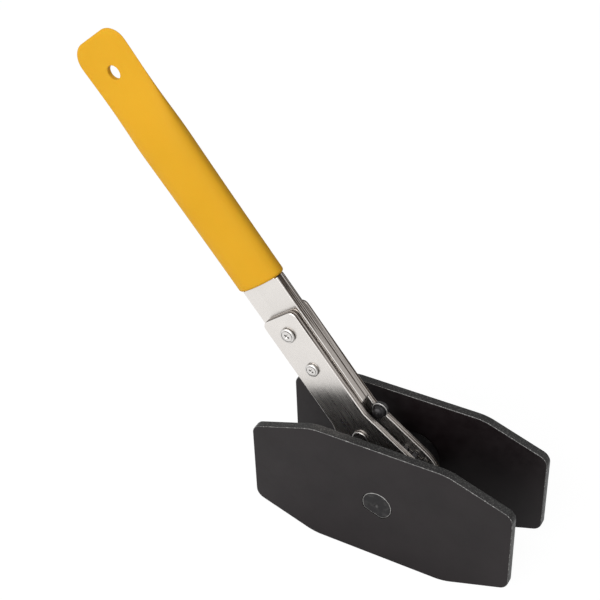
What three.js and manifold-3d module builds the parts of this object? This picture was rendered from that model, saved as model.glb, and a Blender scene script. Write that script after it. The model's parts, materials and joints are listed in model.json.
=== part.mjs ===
// Ratcheting press for brake caliper pistons. Two eight-sided press plates stand on a left-hand and a
// right-hand screw stud. A toothed wheel with a threaded hub turns on both studs and drives the plates
// apart, and a cranked flat handle with a reversible pawl turns the wheel.
//
// Millimetres, +Z up. The ratchet axis runs along Y, the plates' long axis along X, and the tool stands
// on the plates' lower edges. Pieces of the handle are drawn upright, with Z along the handle and X
// across it, in a group that is then tilted about the ratchet axis.

import * as THREE from 'three';
import { mergeVertices } from 'three/addons/utils/BufferGeometryUtils.js';
import Module from 'manifold-3d';

const wasm = await Module();
wasm.setup();

// Clearance between pieces that turn, slide or rest on each other.
const GAP = 0.3;

// Press plates: their outline is a rectangle with four long slanted corners.
const PLATE_LENGTH = 126;
const PLATE_HEIGHT = 64.2;
const PLATE_MIDDLE_LENGTH = 65;
const PLATE_END_HEIGHT = 42.3;
const PLATE_THICKNESS = 4.25;
const PLATE_END_ROUND = 5;
const PLATE_SHOULDER_ROUND = 20;
const PLATE_HUB_GAP = 0.4;

// Screw studs, each with a keyed spigot that sits flush in its plate.
const STUD_RADIUS = 8.7;
const STUD_CHAMFER = 1;
const SPIGOT_RADIUS = 7;
const SPIGOT_FLAT = 5.6;
const SPIGOT_KEY_ANGLE = THREE.MathUtils.degToRad(-110);
const CENTRE_MARK_RADIUS = 1.2;

// Toothed wheel and its threaded hub.
const HUB_LENGTH = 34.4;
const HUB_WALL = 4;
const HUB_CHAMFER = 0.8;
const RIM_WIDTH = 1.9;
const TOOTH_DEPTH = 2.1;
const TOOTH_COUNT = 20;
const TOOTH_LAND = 0.46;
const TOOTH_FOOT = 0.6;

// Thrust washers and snap rings that keep the hub in the head.
const WASHER_WIDTH = 4.2;
const WASHER_THICKNESS = 1;
const RING_THICKNESS = 1.2;
const RING_WIDTH = 3;
const RING_GROOVE_DEPTH = 1.2;
const RING_OPENING = THREE.MathUtils.degToRad(36);
const RING_LUG_RADIUS = 2.3;
const RING_LUG_HOLE = 0.8;

// Handle: two side plates over the end of a flat bar.
const HANDLE_TILT = THREE.MathUtils.degToRad(37.75);
const BAR_THICKNESS = 5.4;
const BAR_WIDTH = 22.6;
const TANG_WIDTH = 19;
const BAR_ROUND = 1.5;
const SIDE_PLATE_THICKNESS = 2.9;
const SIDE_PLATE_WIDTH = 20;
const SIDE_PLATE_ROUND = 3;
const HEAD_COVER = 2.5;

// Screws, and the barrel nuts that they turn into from the front.
const SCREW_HEAD_HEIGHT = 1.1;
const SCREW_SHANK_RADIUS = 1.5;
const BARREL_WALL = 0.9;
const UPPER_HEAD_RADIUS = 3.6;
const LOWER_HEAD_RADIUS = 3.2;
const PIVOT_HEAD_RADIUS = 3.85;
const RECESS_WIDTH = 0.9;
const RECESS_DEPTH = 0.7;

// Reversible pawl, its button and its spring plunger.
const PAWL_REACH = 9.05;
const PAWL_THROW = THREE.MathUtils.degToRad(16);
const PAWL_CROWN_RADIUS = 8;
const PAWL_NOTCH_DEPTH = 0.6;
const PAWL_NOTCH_RADIUS = 1.6;
const PAWL_TIP_SPREAD = 7;
const PAWL_TIP_DROP = 8.7;
const PAWL_TIP_WIDTH = 1.8;
const PAWL_WAIST_DROP = 6.8;
const PAWL_ARM_WIDTH = 3.4;
const PAWL_TAB_THICKNESS = 1.8;
const BUTTON_REACH = 15.1;
const BUTTON_ANGLE = THREE.MathUtils.degToRad(28.3);
const BUTTON_RADIUS = 3;
const BUTTON_FLANGE_RADIUS = 3.7;
const BUTTON_FLANGE_THICKNESS = 1.2;
const BUTTON_PIN_RADIUS = 0.8;
const PLUNGER_RADIUS = 1.5;
const PLUNGER_TRAVEL = 1;
const PLUNGER_SEAT = 4.1;
const SPRING_LENGTH = 12;
const SPRING_WIRE_RADIUS = 0.25;
const SPRING_TURNS = 8;

// Places along the handle, each measured from the one before it.
const PAWL_TO_NECK = 10.45;
const PAWL_TO_BAR = 14.35;
const BAR_TO_LOWER_SCREW = 24.3;
const SCREW_SPACING = 19.1;
const SCREW_TO_PLATE_END = 9.2;
const PLATE_END_TO_GRIP = 16.2;

// Vinyl grip: a sleeve over the bar's tang, oval in section, that widens away from the
// head and flattens to a thin tab at its end.
const GRIP_LENGTH = 126.2;
const GRIP_WIDTH = 27.2;
const GRIP_THICKNESS = 12;
const GRIP_SQUARENESS = 2.15;
const GRIP_TAB_WIDTH = 30.8;
const GRIP_WIDENING_LENGTH = 115;
const GRIP_TAB_THICKNESS = 2.4;
const GRIP_TAB_LENGTH = 19;
const GRIP_TAPER_LENGTH = 36;
const GRIP_END_ROUND = 8.5;
const HANG_HOLE_RADIUS = 3.25;
const HANG_HOLE_FROM_END = 17.3;

// Sizes that follow from the ones above.
const BORE_RADIUS = STUD_RADIUS + GAP;
const HUB_RADIUS = BORE_RADIUS + HUB_WALL;
const ROOT_RADIUS = HUB_RADIUS + RIM_WIDTH;
const TIP_RADIUS = ROOT_RADIUS + TOOTH_DEPTH;
const HEAD_RADIUS = TIP_RADIUS + HEAD_COVER;
const HEAD_BORE_RADIUS = HUB_RADIUS + GAP;

const SLOT_HALF = BAR_THICKNESS / 2 + GAP;
const PAWL_HALF = SLOT_HALF - GAP;
const HEAD_FACE = SLOT_HALF + SIDE_PLATE_THICKNESS;
const WASHER_SEAT = HEAD_FACE + GAP;
const RING_SEAT = WASHER_SEAT + WASHER_THICKNESS + GAP;
const PLATE_INNER = HUB_LENGTH / 2 + PLATE_HUB_GAP;
const PLATE_OUTER = PLATE_INNER + PLATE_THICKNESS;

const PAWL_PIVOT = TIP_RADIUS + PAWL_REACH;
const NECK = PAWL_PIVOT + PAWL_TO_NECK;
const BAR_BOTTOM = PAWL_PIVOT + PAWL_TO_BAR;
const LOWER_SCREW = BAR_BOTTOM + BAR_TO_LOWER_SCREW;
const UPPER_SCREW = LOWER_SCREW + SCREW_SPACING;
const SIDE_PLATE_END = UPPER_SCREW + SCREW_TO_PLATE_END;
const GRIP_START = SIDE_PLATE_END + PLATE_END_TO_GRIP;
const TAPER_START = GRIP_LENGTH - GRIP_TAB_LENGTH - GRIP_TAPER_LENGTH;
const TAPER_END = GRIP_LENGTH - GRIP_TAB_LENGTH;
const BAR_TOP = GRIP_START + TAPER_START;

const BARREL_BORE_RADIUS = SCREW_SHANK_RADIUS + GAP;
const BARREL_RADIUS = BARREL_BORE_RADIUS + BARREL_WALL;
const CROSS_HOLE_RADIUS = BARREL_RADIUS + GAP;

const PLUNGER_TIP = PAWL_PIVOT + PAWL_CROWN_RADIUS + GAP;
const PLUNGER_TAIL = BAR_BOTTOM + PLUNGER_SEAT;
const SPRING_START = PLUNGER_TAIL + PLUNGER_TRAVEL + GAP;
const PLUNGER_BORE_RADIUS = PLUNGER_RADIUS + GAP;
const PLUNGER_BORE_END = SPRING_START + SPRING_LENGTH + GAP;

// Finishes.
const finish = (color, roughness, metalness) =>
  new THREE.MeshStandardMaterial({ color, roughness, metalness });
const BLACK_COAT = finish(0x2e2c2e, 0.42, 0.3);
const BLACK_OXIDE = finish(0x1c1b1c, 0.5, 0.7);
const SATIN_STEEL = finish(0xd6d0cc, 0.34, 1);
const BRIGHT_STEEL = finish(0xc9c6c2, 0.26, 1);
const YELLOW_VINYL = finish(0xedb12d, 0.5, 0);

// Solids --------------------------------------------------------------------------------------------

// A closed geometry as a solid, with its faces turned outwards.
function solid(geometry) {
  const bare = geometry.clone();
  bare.deleteAttribute('normal');
  bare.deleteAttribute('uv');
  const merged = mergeVertices(bare, 1e-5);
  const make = (triVerts) => new wasm.Manifold(new wasm.Mesh({
    numProp: 3,
    vertProperties: new Float32Array(merged.attributes.position.array),
    triVerts,
  }));
  const triangles = new Uint32Array(merged.index.array);
  const first = make(triangles);
  return first.volume() > 0 ? first : make(triangles.slice().reverse());
}

// A solid as a three.js geometry.
function geometryOf(body) {
  const mesh = body.getMesh();
  const geometry = new THREE.BufferGeometry();
  geometry.setAttribute('position', new THREE.BufferAttribute(new Float32Array(mesh.vertProperties), 3));
  geometry.setIndex(new THREE.BufferAttribute(new Uint32Array(mesh.triVerts), 1));
  geometry.computeVertexNormals();
  return geometry;
}

const subtract = (body, ...tools) => tools.reduce((left, tool) => left.subtract(tool), body);
const unite = (body, ...others) => others.reduce((left, other) => left.add(other), body);

// A flat piece: an outline in X and Z, between two heights along Y.
function flatPiece(shape, low, high, curveSegments = 6) {
  const geometry = new THREE.ExtrudeGeometry(shape, { depth: high - low, bevelEnabled: false, curveSegments });
  geometry.rotateX(Math.PI / 2);
  geometry.translate(0, high, 0);
  return solid(geometry);
}

// A turned piece: a profile of [radius, height] points spun about Y.
function turned(profile, segments = 28) {
  return solid(new THREE.LatheGeometry(profile.map(([radius, height]) => new THREE.Vector2(radius, height)), segments));
}

// A round bar along Y, centred on X and Z.
function bar(radius, low, high, segments = 28) {
  return turned([[0, low], [radius, low], [radius, high], [0, high]], segments);
}

// A closed outline through the given points, each corner rounded by its own radius.
function roundedOutline(points) {
  const shape = new THREE.Shape();
  const corners = points.map(([x, y, round], index) => {
    const at = new THREE.Vector2(x, y);
    const before = new THREE.Vector2(...points.at(index - 1)).sub(at).normalize();
    const after = new THREE.Vector2(...points[(index + 1) % points.length]).sub(at).normalize();
    const half = Math.acos(THREE.MathUtils.clamp(before.dot(after), -1, 1)) / 2;
    return { at, before, after, half, round };
  });
  corners.forEach(({ at, before, after, half, round }, index) => {
    const reach = round / Math.tan(half);
    const enter = at.clone().addScaledVector(before, reach);
    const middle = before.clone().add(after).normalize();
    const centre = at.clone().addScaledVector(middle, round / Math.sin(half));
    if (index === 0) shape.moveTo(enter.x, enter.y);
    else shape.lineTo(enter.x, enter.y);
    if (round === 0) return;
    const leave = at.clone().addScaledVector(after, reach);
    const from = Math.atan2(enter.y - centre.y, enter.x - centre.x);
    const to = Math.atan2(leave.y - centre.y, leave.x - centre.x);
    const clockwise = before.cross(after) > 0;
    shape.absarc(centre.x, centre.y, round, from, to, clockwise);
  });
  shape.closePath();
  return shape;
}

function roundHole(x, z, radius) {
  return new THREE.Path().absarc(x, z, radius, 0, Math.PI * 2, true);
}

// Press plates and studs ----------------------------------------------------------------------------

// A round outline with one flat, which keys a stud to its plate.
function keyedOutline(radius, flat) {
  const half = Math.acos(flat / radius);
  return new THREE.Shape().absarc(0, 0, radius, SPIGOT_KEY_ANGLE + half, SPIGOT_KEY_ANGLE + Math.PI * 2 - half, false);
}

function pressPlate() {
  const end = PLATE_LENGTH / 2;
  const shoulder = PLATE_MIDDLE_LENGTH / 2;
  const low = PLATE_END_HEIGHT / 2;
  const high = PLATE_HEIGHT / 2;
  const outline = roundedOutline([
    [-end, -low, PLATE_END_ROUND], [-shoulder, -high, PLATE_SHOULDER_ROUND],
    [shoulder, -high, PLATE_SHOULDER_ROUND], [end, -low, PLATE_END_ROUND],
    [end, low, PLATE_END_ROUND], [shoulder, high, PLATE_SHOULDER_ROUND],
    [-shoulder, high, PLATE_SHOULDER_ROUND], [-end, low, PLATE_END_ROUND],
  ]);
  const keyHole = keyedOutline(SPIGOT_RADIUS + GAP, SPIGOT_FLAT + GAP);
  return subtract(
    flatPiece(outline, -PLATE_OUTER, -PLATE_INNER),
    flatPiece(keyHole, -PLATE_OUTER - 1, -PLATE_INNER + 1, 18),
  );
}

function stud() {
  const shoulder = PLATE_INNER - GAP;
  const thread = turned([
    [0, -shoulder], [STUD_RADIUS, -shoulder], [STUD_RADIUS, -GAP - STUD_CHAMFER],
    [STUD_RADIUS - STUD_CHAMFER, -GAP], [0, -GAP],
  ], 36);
  const spigot = flatPiece(keyedOutline(SPIGOT_RADIUS, SPIGOT_FLAT), -PLATE_OUTER, -shoulder + 1, 18);
  const centreMark = turned([
    [0, -PLATE_OUTER + CENTRE_MARK_RADIUS], [CENTRE_MARK_RADIUS, -PLATE_OUTER],
    [CENTRE_MARK_RADIUS, -PLATE_OUTER - 1], [0, -PLATE_OUTER - 1],
  ], 16);
  return subtract(unite(thread, spigot), centreMark);
}

// Wheel, washers and snap rings ---------------------------------------------------------------------

function toothedOutline() {
  const shape = new THREE.Shape();
  const pitch = Math.PI * 2 / TOOTH_COUNT;
  for (let tooth = 0; tooth < TOOTH_COUNT; tooth += 1) {
    const centre = (tooth + 0.5) * pitch;
    const corners = [
      [ROOT_RADIUS, -TOOTH_FOOT], [TIP_RADIUS, -TOOTH_LAND], [TIP_RADIUS, TOOTH_LAND], [ROOT_RADIUS, TOOTH_FOOT],
    ];
    corners.forEach(([radius, side], corner) => {
      const angle = centre + side * pitch / 2;
      const x = radius * Math.cos(angle);
      const y = radius * Math.sin(angle);
      if (tooth === 0 && corner === 0) shape.moveTo(x, y);
      else shape.lineTo(x, y);
    });
  }
  shape.closePath();
  return shape;
}

function ratchetWheel() {
  const end = HUB_LENGTH / 2;
  const hub = turned([
    [0, -end], [HUB_RADIUS - HUB_CHAMFER, -end], [HUB_RADIUS, -end + HUB_CHAMFER],
    [HUB_RADIUS, end - HUB_CHAMFER], [HUB_RADIUS - HUB_CHAMFER, end], [0, end],
  ], 48);
  const teeth = flatPiece(toothedOutline(), -PAWL_HALF, PAWL_HALF);
  const grooves = [-1, 1].map((side) => {
    const near = RING_SEAT - GAP;
    const far = RING_SEAT + RING_THICKNESS + GAP;
    const floor = HUB_RADIUS - RING_GROOVE_DEPTH;
    return turned([
      [floor, side * near], [HUB_RADIUS + 1, side * near], [HUB_RADIUS + 1, side * far],
      [floor, side * far], [floor, side * near],
    ], 48);
  });
  return subtract(unite(hub, teeth), bar(BORE_RADIUS, -end - 1, end + 1, 48), ...grooves);
}

function thrustWasher() {
  const inner = HUB_RADIUS + GAP;
  const outer = inner + WASHER_WIDTH;
  return turned([
    [inner, 0], [outer, 0], [outer, WASHER_THICKNESS], [inner, WASHER_THICKNESS], [inner, 0],
  ], 48);
}

function snapRing() {
  const inner = HUB_RADIUS - RING_GROOVE_DEPTH + GAP;
  const outer = inner + RING_WIDTH;
  const middle = (inner + outer) / 2;
  const half = RING_OPENING / 2;
  const arc = new THREE.Shape();
  arc.absarc(0, 0, outer, half, Math.PI * 2 - half, false);
  arc.absarc(0, 0, inner, Math.PI * 2 - half, half, true);
  arc.closePath();
  let ring = flatPiece(arc, 0, RING_THICKNESS, 24);
  for (const side of [-1, 1]) {
    const angle = side * (half + RING_LUG_RADIUS * 0.4 / middle);
    const lugRadius = inner + RING_LUG_RADIUS;
    const x = lugRadius * Math.cos(angle);
    const z = lugRadius * Math.sin(angle);
    const lug = bar(RING_LUG_RADIUS, 0, RING_THICKNESS, 16).translate([x, 0, z]);
    const eye = bar(RING_LUG_HOLE, -1, RING_THICKNESS + 1, 12).translate([x, 0, z]);
    ring = ring.add(lug).subtract(eye);
  }
  return subtract(ring, bar(inner, -1, RING_THICKNESS + 1, 24));
}

// Handle --------------------------------------------------------------------------------------------

function sidePlate(low, high) {
  const half = SIDE_PLATE_WIDTH / 2;
  const neckReach = Math.hypot(half, NECK);
  const fromHandle = Math.atan2(half, NECK) + Math.acos(HEAD_RADIUS / neckReach);
  const tangent = Math.PI / 2 - fromHandle;
  const shape = new THREE.Shape();
  shape.moveTo(half, NECK);
  shape.lineTo(half, SIDE_PLATE_END - SIDE_PLATE_ROUND);
  shape.absarc(half - SIDE_PLATE_ROUND, SIDE_PLATE_END - SIDE_PLATE_ROUND, SIDE_PLATE_ROUND, 0, Math.PI / 2, false);
  shape.lineTo(SIDE_PLATE_ROUND - half, SIDE_PLATE_END);
  shape.absarc(SIDE_PLATE_ROUND - half, SIDE_PLATE_END - SIDE_PLATE_ROUND, SIDE_PLATE_ROUND,
    Math.PI / 2, Math.PI, false);
  shape.lineTo(-half, NECK);
  shape.absarc(0, 0, HEAD_RADIUS, Math.PI - tangent, Math.PI * 2 + tangent, false);
  shape.closePath();
  shape.holes.push(
    roundHole(0, 0, HEAD_BORE_RADIUS),
    ...[PAWL_PIVOT, LOWER_SCREW, UPPER_SCREW].map((place) => roundHole(0, place, CROSS_HOLE_RADIUS)),
  );
  return flatPiece(shape, low, high, 14);
}

function handleBar() {
  const half = BAR_WIDTH / 2;
  const tang = TANG_WIDTH / 2;
  const shoulder = GRIP_START - GAP;
  const outline = roundedOutline([
    [-half, BAR_BOTTOM, BAR_ROUND], [half, BAR_BOTTOM, BAR_ROUND],
    [half, shoulder, 0], [tang, shoulder, 0],
    [tang, BAR_TOP, BAR_ROUND], [-tang, BAR_TOP, BAR_ROUND],
    [-tang, shoulder, 0], [-half, shoulder, 0],
  ]);
  outline.holes.push(...[LOWER_SCREW, UPPER_SCREW].map((place) => roundHole(0, place, CROSS_HOLE_RADIUS)));
  const bore = alongHandle(bar(PLUNGER_BORE_RADIUS, BAR_BOTTOM - 1, PLUNGER_BORE_END, 24));
  return subtract(flatPiece(outline, -BAR_THICKNESS / 2, BAR_THICKNESS / 2, 12), bore);
}

// Turns a piece made along Y so that it lies along the handle.
function alongHandle(body) {
  return body.rotate([90, 0, 0]);
}

// The grip's oval section: an ellipse with fuller corners.
function gripSection(halfWidth, halfThickness) {
  const outline = [];
  const count = 40;
  const power = 2 / GRIP_SQUARENESS;
  for (let index = 0; index < count; index += 1) {
    const angle = index / count * Math.PI * 2;
    const across = Math.cos(angle);
    const through = Math.sin(angle);
    outline.push(new THREE.Vector2(
      halfWidth * Math.sign(across) * Math.abs(across) ** power,
      halfThickness * Math.sign(through) * Math.abs(through) ** power,
    ));
  }
  return new THREE.Shape(outline);
}

function grip() {
  const geometry = new THREE.ExtrudeGeometry(gripSection(GRIP_WIDTH / 2, GRIP_THICKNESS / 2), {
    depth: GRIP_LENGTH, steps: 26, bevelEnabled: false,
  });
  const places = geometry.attributes.position;
  for (let index = 0; index < places.count; index += 1) {
    const widened = Math.min(places.getZ(index) / GRIP_WIDENING_LENGTH, 1) ** 2;
    const flattened = THREE.MathUtils.smoothstep(places.getZ(index), TAPER_START, TAPER_END);
    const wide = THREE.MathUtils.lerp(1, GRIP_TAB_WIDTH / GRIP_WIDTH, widened);
    const thin = THREE.MathUtils.lerp(1, GRIP_TAB_THICKNESS / GRIP_THICKNESS, flattened);
    places.setXY(index, places.getX(index) * wide, places.getY(index) * thin);
  }
  const reach = GRIP_THICKNESS;
  const widest = Math.max(GRIP_WIDTH, GRIP_TAB_WIDTH);
  const end = flatPiece(roundedOutline([
    [-widest, -1, 0], [widest, -1, 0],
    [widest, GRIP_LENGTH - GRIP_END_ROUND, 0], [GRIP_TAB_WIDTH / 2, GRIP_LENGTH - GRIP_END_ROUND - GAP, 0],
    [GRIP_TAB_WIDTH / 2, GRIP_LENGTH, GRIP_END_ROUND], [-GRIP_TAB_WIDTH / 2, GRIP_LENGTH, GRIP_END_ROUND],
    [-GRIP_TAB_WIDTH / 2, GRIP_LENGTH - GRIP_END_ROUND - GAP, 0], [-widest, GRIP_LENGTH - GRIP_END_ROUND, 0],
  ]), -reach, reach, 8);
  const pocketHalf = TANG_WIDTH / 2 + GAP;
  const pocketEnd = TAPER_START + GAP;
  const pocket = flatPiece(roundedOutline([
    [-pocketHalf, -1, 0], [pocketHalf, -1, 0],
    [pocketHalf, pocketEnd, BAR_ROUND], [-pocketHalf, pocketEnd, BAR_ROUND],
  ]), -BAR_THICKNESS / 2 - GAP, BAR_THICKNESS / 2 + GAP);
  const hangHole = bar(HANG_HOLE_RADIUS, -reach, reach).translate([0, 0, GRIP_LENGTH - HANG_HOLE_FROM_END]);
  return subtract(solid(geometry).intersect(end), pocket, hangHole);
}

// Screws and barrel nuts ----------------------------------------------------------------------------

// A low domed head that faces +Y, from its flat underside to its crown.
function headProfile(radius, base) {
  return [
    [radius, base], [radius, base + SCREW_HEAD_HEIGHT * 0.45],
    [radius * 0.86, base + SCREW_HEAD_HEIGHT * 0.85], [radius * 0.6, base + SCREW_HEAD_HEIGHT],
  ];
}

function screw(headRadius) {
  const base = HEAD_FACE + GAP;
  const top = base + SCREW_HEAD_HEIGHT;
  const body = turned([
    [0, -SLOT_HALF], [SCREW_SHANK_RADIUS, -SLOT_HALF], [SCREW_SHANK_RADIUS, base],
    ...headProfile(headRadius, base), [0, top],
  ]);
  const arm = headRadius * 1.1;
  const slots = [[arm, RECESS_WIDTH], [RECESS_WIDTH, arm]].map(([width, height]) =>
    solid(new THREE.BoxGeometry(width, RECESS_DEPTH * 2, height).translate(0, top, 0)));
  return subtract(body, ...slots).rotate([0, 0, 180]);
}

function barrelNut(headRadius) {
  const base = HEAD_FACE + GAP;
  const mouth = -HEAD_FACE + GAP;
  return turned([
    [BARREL_BORE_RADIUS, mouth], [BARREL_RADIUS, mouth], [BARREL_RADIUS, base],
    ...headProfile(headRadius, base), [0, base + SCREW_HEAD_HEIGHT],
    [0, SLOT_HALF + GAP], [BARREL_BORE_RADIUS, SLOT_HALF + GAP], [BARREL_BORE_RADIUS, mouth],
  ]);
}

// Pawl, button, plunger and spring ------------------------------------------------------------------

// The pawl is drawn about its pivot, half way between its two positions.
function pawl() {
  const notchAngle = PAWL_THROW / 2;
  const shape = roundedOutline([
    [-PAWL_TIP_SPREAD, -PAWL_TIP_DROP, 0], [-PAWL_TIP_SPREAD + PAWL_TIP_WIDTH, -PAWL_TIP_DROP + 0.5, 0],
    [-PAWL_TIP_SPREAD + PAWL_TIP_WIDTH, -PAWL_WAIST_DROP, 0],
    [PAWL_TIP_SPREAD - PAWL_TIP_WIDTH, -PAWL_WAIST_DROP, 0],
    [PAWL_TIP_SPREAD - PAWL_TIP_WIDTH, -PAWL_TIP_DROP + 0.5, 0], [PAWL_TIP_SPREAD, -PAWL_TIP_DROP, 0],
    [PAWL_TIP_SPREAD + 0.8, -PAWL_WAIST_DROP + 1, 0.6], [PAWL_CROWN_RADIUS * 0.75, 0, 0],
    [-PAWL_CROWN_RADIUS * 0.75, 0, 0], [-PAWL_TIP_SPREAD - 0.8, -PAWL_WAIST_DROP + 1, 0.6],
  ]);
  const crown = bar(PAWL_CROWN_RADIUS, -PAWL_HALF, PAWL_HALF, 48)
    .intersect(flatPiece(roundedOutline([
      [-PAWL_CROWN_RADIUS * 0.75, -1, 0], [PAWL_CROWN_RADIUS * 0.75, -1, 0],
      [PAWL_CROWN_RADIUS * 0.75, PAWL_CROWN_RADIUS + 1, 0], [-PAWL_CROWN_RADIUS * 0.75, PAWL_CROWN_RADIUS + 1, 0],
    ]), -PAWL_HALF - 1, PAWL_HALF + 1));
  const notchReach = PAWL_CROWN_RADIUS - PAWL_NOTCH_DEPTH + PAWL_NOTCH_RADIUS;
  const notches = [-1, 1].map((side) => bar(PAWL_NOTCH_RADIUS, -PAWL_HALF - 1, PAWL_HALF + 1, 20)
    .translate([notchReach * Math.sin(side * notchAngle), 0, notchReach * Math.cos(notchAngle)]));
  const armAngle = BUTTON_ANGLE - PAWL_THROW / 2;
  const armSide = PAWL_ARM_WIDTH / 2;
  const thickEnd = BUTTON_REACH - BUTTON_FLANGE_RADIUS - GAP;
  const arm = flatPiece(roundedOutline([
    [0, -armSide, 0], [thickEnd, -armSide, 0], [thickEnd, armSide, 0], [0, armSide, 0],
  ]), -PAWL_HALF, PAWL_HALF);
  const tabEnd = BUTTON_REACH + armSide;
  const tab = flatPiece(roundedOutline([
    [0, -armSide, 0], [tabEnd, -armSide, armSide * 0.9], [tabEnd, armSide, armSide * 0.9], [0, armSide, 0],
  ]), -PAWL_TAB_THICKNESS / 2, PAWL_TAB_THICKNESS / 2);
  const pinHole = bar(BUTTON_PIN_RADIUS + GAP, -PAWL_HALF, PAWL_HALF, 16).translate([BUTTON_REACH, 0, 0]);
  const lever = unite(arm, tab).subtract(pinHole).rotate([0, THREE.MathUtils.radToDeg(-armAngle), 0]);
  const body = unite(flatPiece(shape, -PAWL_HALF, PAWL_HALF), crown, lever);
  return subtract(body, ...notches, bar(CROSS_HOLE_RADIUS, -PAWL_HALF - 1, PAWL_HALF + 1));
}

// The button is drawn about its pin, with the pawl's tab entering from -X.
function selectorButton() {
  const flangeStart = PAWL_HALF - BUTTON_FLANGE_THICKNESS;
  const body = turned([
    [0, -PAWL_HALF], [BUTTON_RADIUS - 0.4, -PAWL_HALF], [BUTTON_RADIUS, -PAWL_HALF + 0.4],
    [BUTTON_RADIUS, flangeStart], [BUTTON_FLANGE_RADIUS, flangeStart], [BUTTON_FLANGE_RADIUS, PAWL_HALF],
    [0, PAWL_HALF],
  ], 40);
  const slotEnd = PAWL_ARM_WIDTH / 2 + GAP;
  const slotStart = -BUTTON_FLANGE_RADIUS - 1;
  const slot = solid(new THREE.BoxGeometry(slotEnd - slotStart, PAWL_TAB_THICKNESS + GAP * 2, PAWL_ARM_WIDTH + GAP * 2)
    .translate((slotEnd + slotStart) / 2, 0, 0));
  return subtract(body, slot, bar(BUTTON_PIN_RADIUS + GAP, -PAWL_HALF - 1, PAWL_HALF + 1, 16));
}

function plunger() {
  const dome = PLUNGER_RADIUS;
  const profile = [[0, PLUNGER_TIP]];
  for (let step = 1; step <= 5; step += 1) {
    const angle = step / 5 * Math.PI / 2;
    profile.push([dome * Math.sin(angle), PLUNGER_TIP + dome * (1 - Math.cos(angle))]);
  }
  profile.push([PLUNGER_RADIUS, PLUNGER_TAIL], [0, PLUNGER_TAIL]);
  return alongHandle(turned(profile, 24));
}

function spring() {
  class Coil extends THREE.Curve {
    getPoint(share, target = new THREE.Vector3()) {
      const angle = share * SPRING_TURNS * Math.PI * 2;
      const radius = PLUNGER_RADIUS - SPRING_WIRE_RADIUS;
      const rise = SPRING_LENGTH - SPRING_WIRE_RADIUS * 2;
      const start = SPRING_START + SPRING_WIRE_RADIUS;
      return target.set(radius * Math.cos(angle), radius * Math.sin(angle), start + rise * share);
    }
  }
  const wire = new THREE.Shape().absarc(0, 0, SPRING_WIRE_RADIUS, 0, Math.PI * 2, false);
  return solid(new THREE.ExtrudeGeometry(wire, {
    steps: SPRING_TURNS * 12, extrudePath: new Coil(), bevelEnabled: false, curveSegments: 3,
  }));
}

// Assembly ------------------------------------------------------------------------------------------

function piece(name, body, material) {
  const mesh = new THREE.Mesh(geometryOf(body), material);
  mesh.name = name;
  return mesh;
}

// The two press plates are one part used twice, the back one turned round about Z.
function pressSide(side) {
  const group = new THREE.Group();
  group.add(piece(`${side}_press_plate`, pressPlate(), BLACK_COAT));
  group.add(piece(`${side}_stud`, stud(), BLACK_OXIDE));
  if (side === 'back') group.rotation.z = Math.PI;
  return group;
}

function wheelGroup() {
  const group = new THREE.Group();
  group.add(piece('ratchet_wheel', ratchetWheel(), BLACK_OXIDE));
  for (const [side, start] of [['front', -RING_SEAT - RING_THICKNESS], ['back', RING_SEAT]]) {
    const ring = piece(`${side}_snap_ring`, snapRing(), BLACK_OXIDE);
    ring.position.y = start;
    group.add(ring);
  }
  return group;
}

function washers() {
  const group = new THREE.Group();
  for (const [side, start] of [['front', -WASHER_SEAT - WASHER_THICKNESS], ['back', WASHER_SEAT]]) {
    const washer = piece(`${side}_thrust_washer`, thrustWasher(), BLACK_OXIDE);
    washer.position.y = start;
    group.add(washer);
  }
  return group;
}

function pawlGroup() {
  const group = new THREE.Group();
  group.position.z = PAWL_PIVOT;
  const lever = piece('direction_pawl', pawl(), BLACK_OXIDE);
  lever.rotation.y = -PAWL_THROW / 2;
  group.add(lever);
  const buttonGroup = new THREE.Group();
  buttonGroup.rotation.y = -BUTTON_ANGLE;
  for (const [name, body] of [
    ['selector_button', selectorButton()],
    ['selector_pin', bar(BUTTON_PIN_RADIUS, -PAWL_HALF, PAWL_HALF, 16)],
  ]) {
    const mesh = piece(name, body, BLACK_OXIDE);
    mesh.position.x = BUTTON_REACH;
    buttonGroup.add(mesh);
  }
  group.add(buttonGroup);
  return group;
}

function handleGroup() {
  const group = new THREE.Group();
  group.add(piece('front_side_plate', sidePlate(-HEAD_FACE, -SLOT_HALF), SATIN_STEEL));
  group.add(piece('back_side_plate', sidePlate(SLOT_HALF, HEAD_FACE), SATIN_STEEL));
  group.add(piece('handle_bar', handleBar(), SATIN_STEEL));
  const sleeve = piece('grip_sleeve', grip(), YELLOW_VINYL);
  sleeve.position.z = GRIP_START;
  group.add(sleeve);
  for (const [name, place, headRadius] of [
    ['upper', UPPER_SCREW, UPPER_HEAD_RADIUS],
    ['lower', LOWER_SCREW, LOWER_HEAD_RADIUS],
    ['pawl_pivot', PAWL_PIVOT, PIVOT_HEAD_RADIUS],
  ]) {
    for (const mesh of [
      piece(`${name}_screw`, screw(headRadius), BRIGHT_STEEL),
      piece(`${name}_barrel_nut`, barrelNut(headRadius), BRIGHT_STEEL),
    ]) {
      mesh.position.z = place;
      group.add(mesh);
    }
  }
  group.add(pawlGroup());
  group.add(piece('detent_plunger', plunger(), BRIGHT_STEEL));
  group.add(piece('detent_spring', spring(), BRIGHT_STEEL));
  group.rotation.y = -HANDLE_TILT;
  return group;
}

const press = new THREE.Group();
press.add(pressSide('front'), pressSide('back'), wheelGroup(), washers(), handleGroup());

// The origin is at the middle of the tool's outer box in plan, on the surface that it stands on.
press.updateMatrixWorld(true);
const box = new THREE.Box3().setFromObject(press, true);
const middle = box.getCenter(new THREE.Vector3());
press.position.set(-middle.x, -middle.y, -box.min.z);

export default press;
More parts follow.
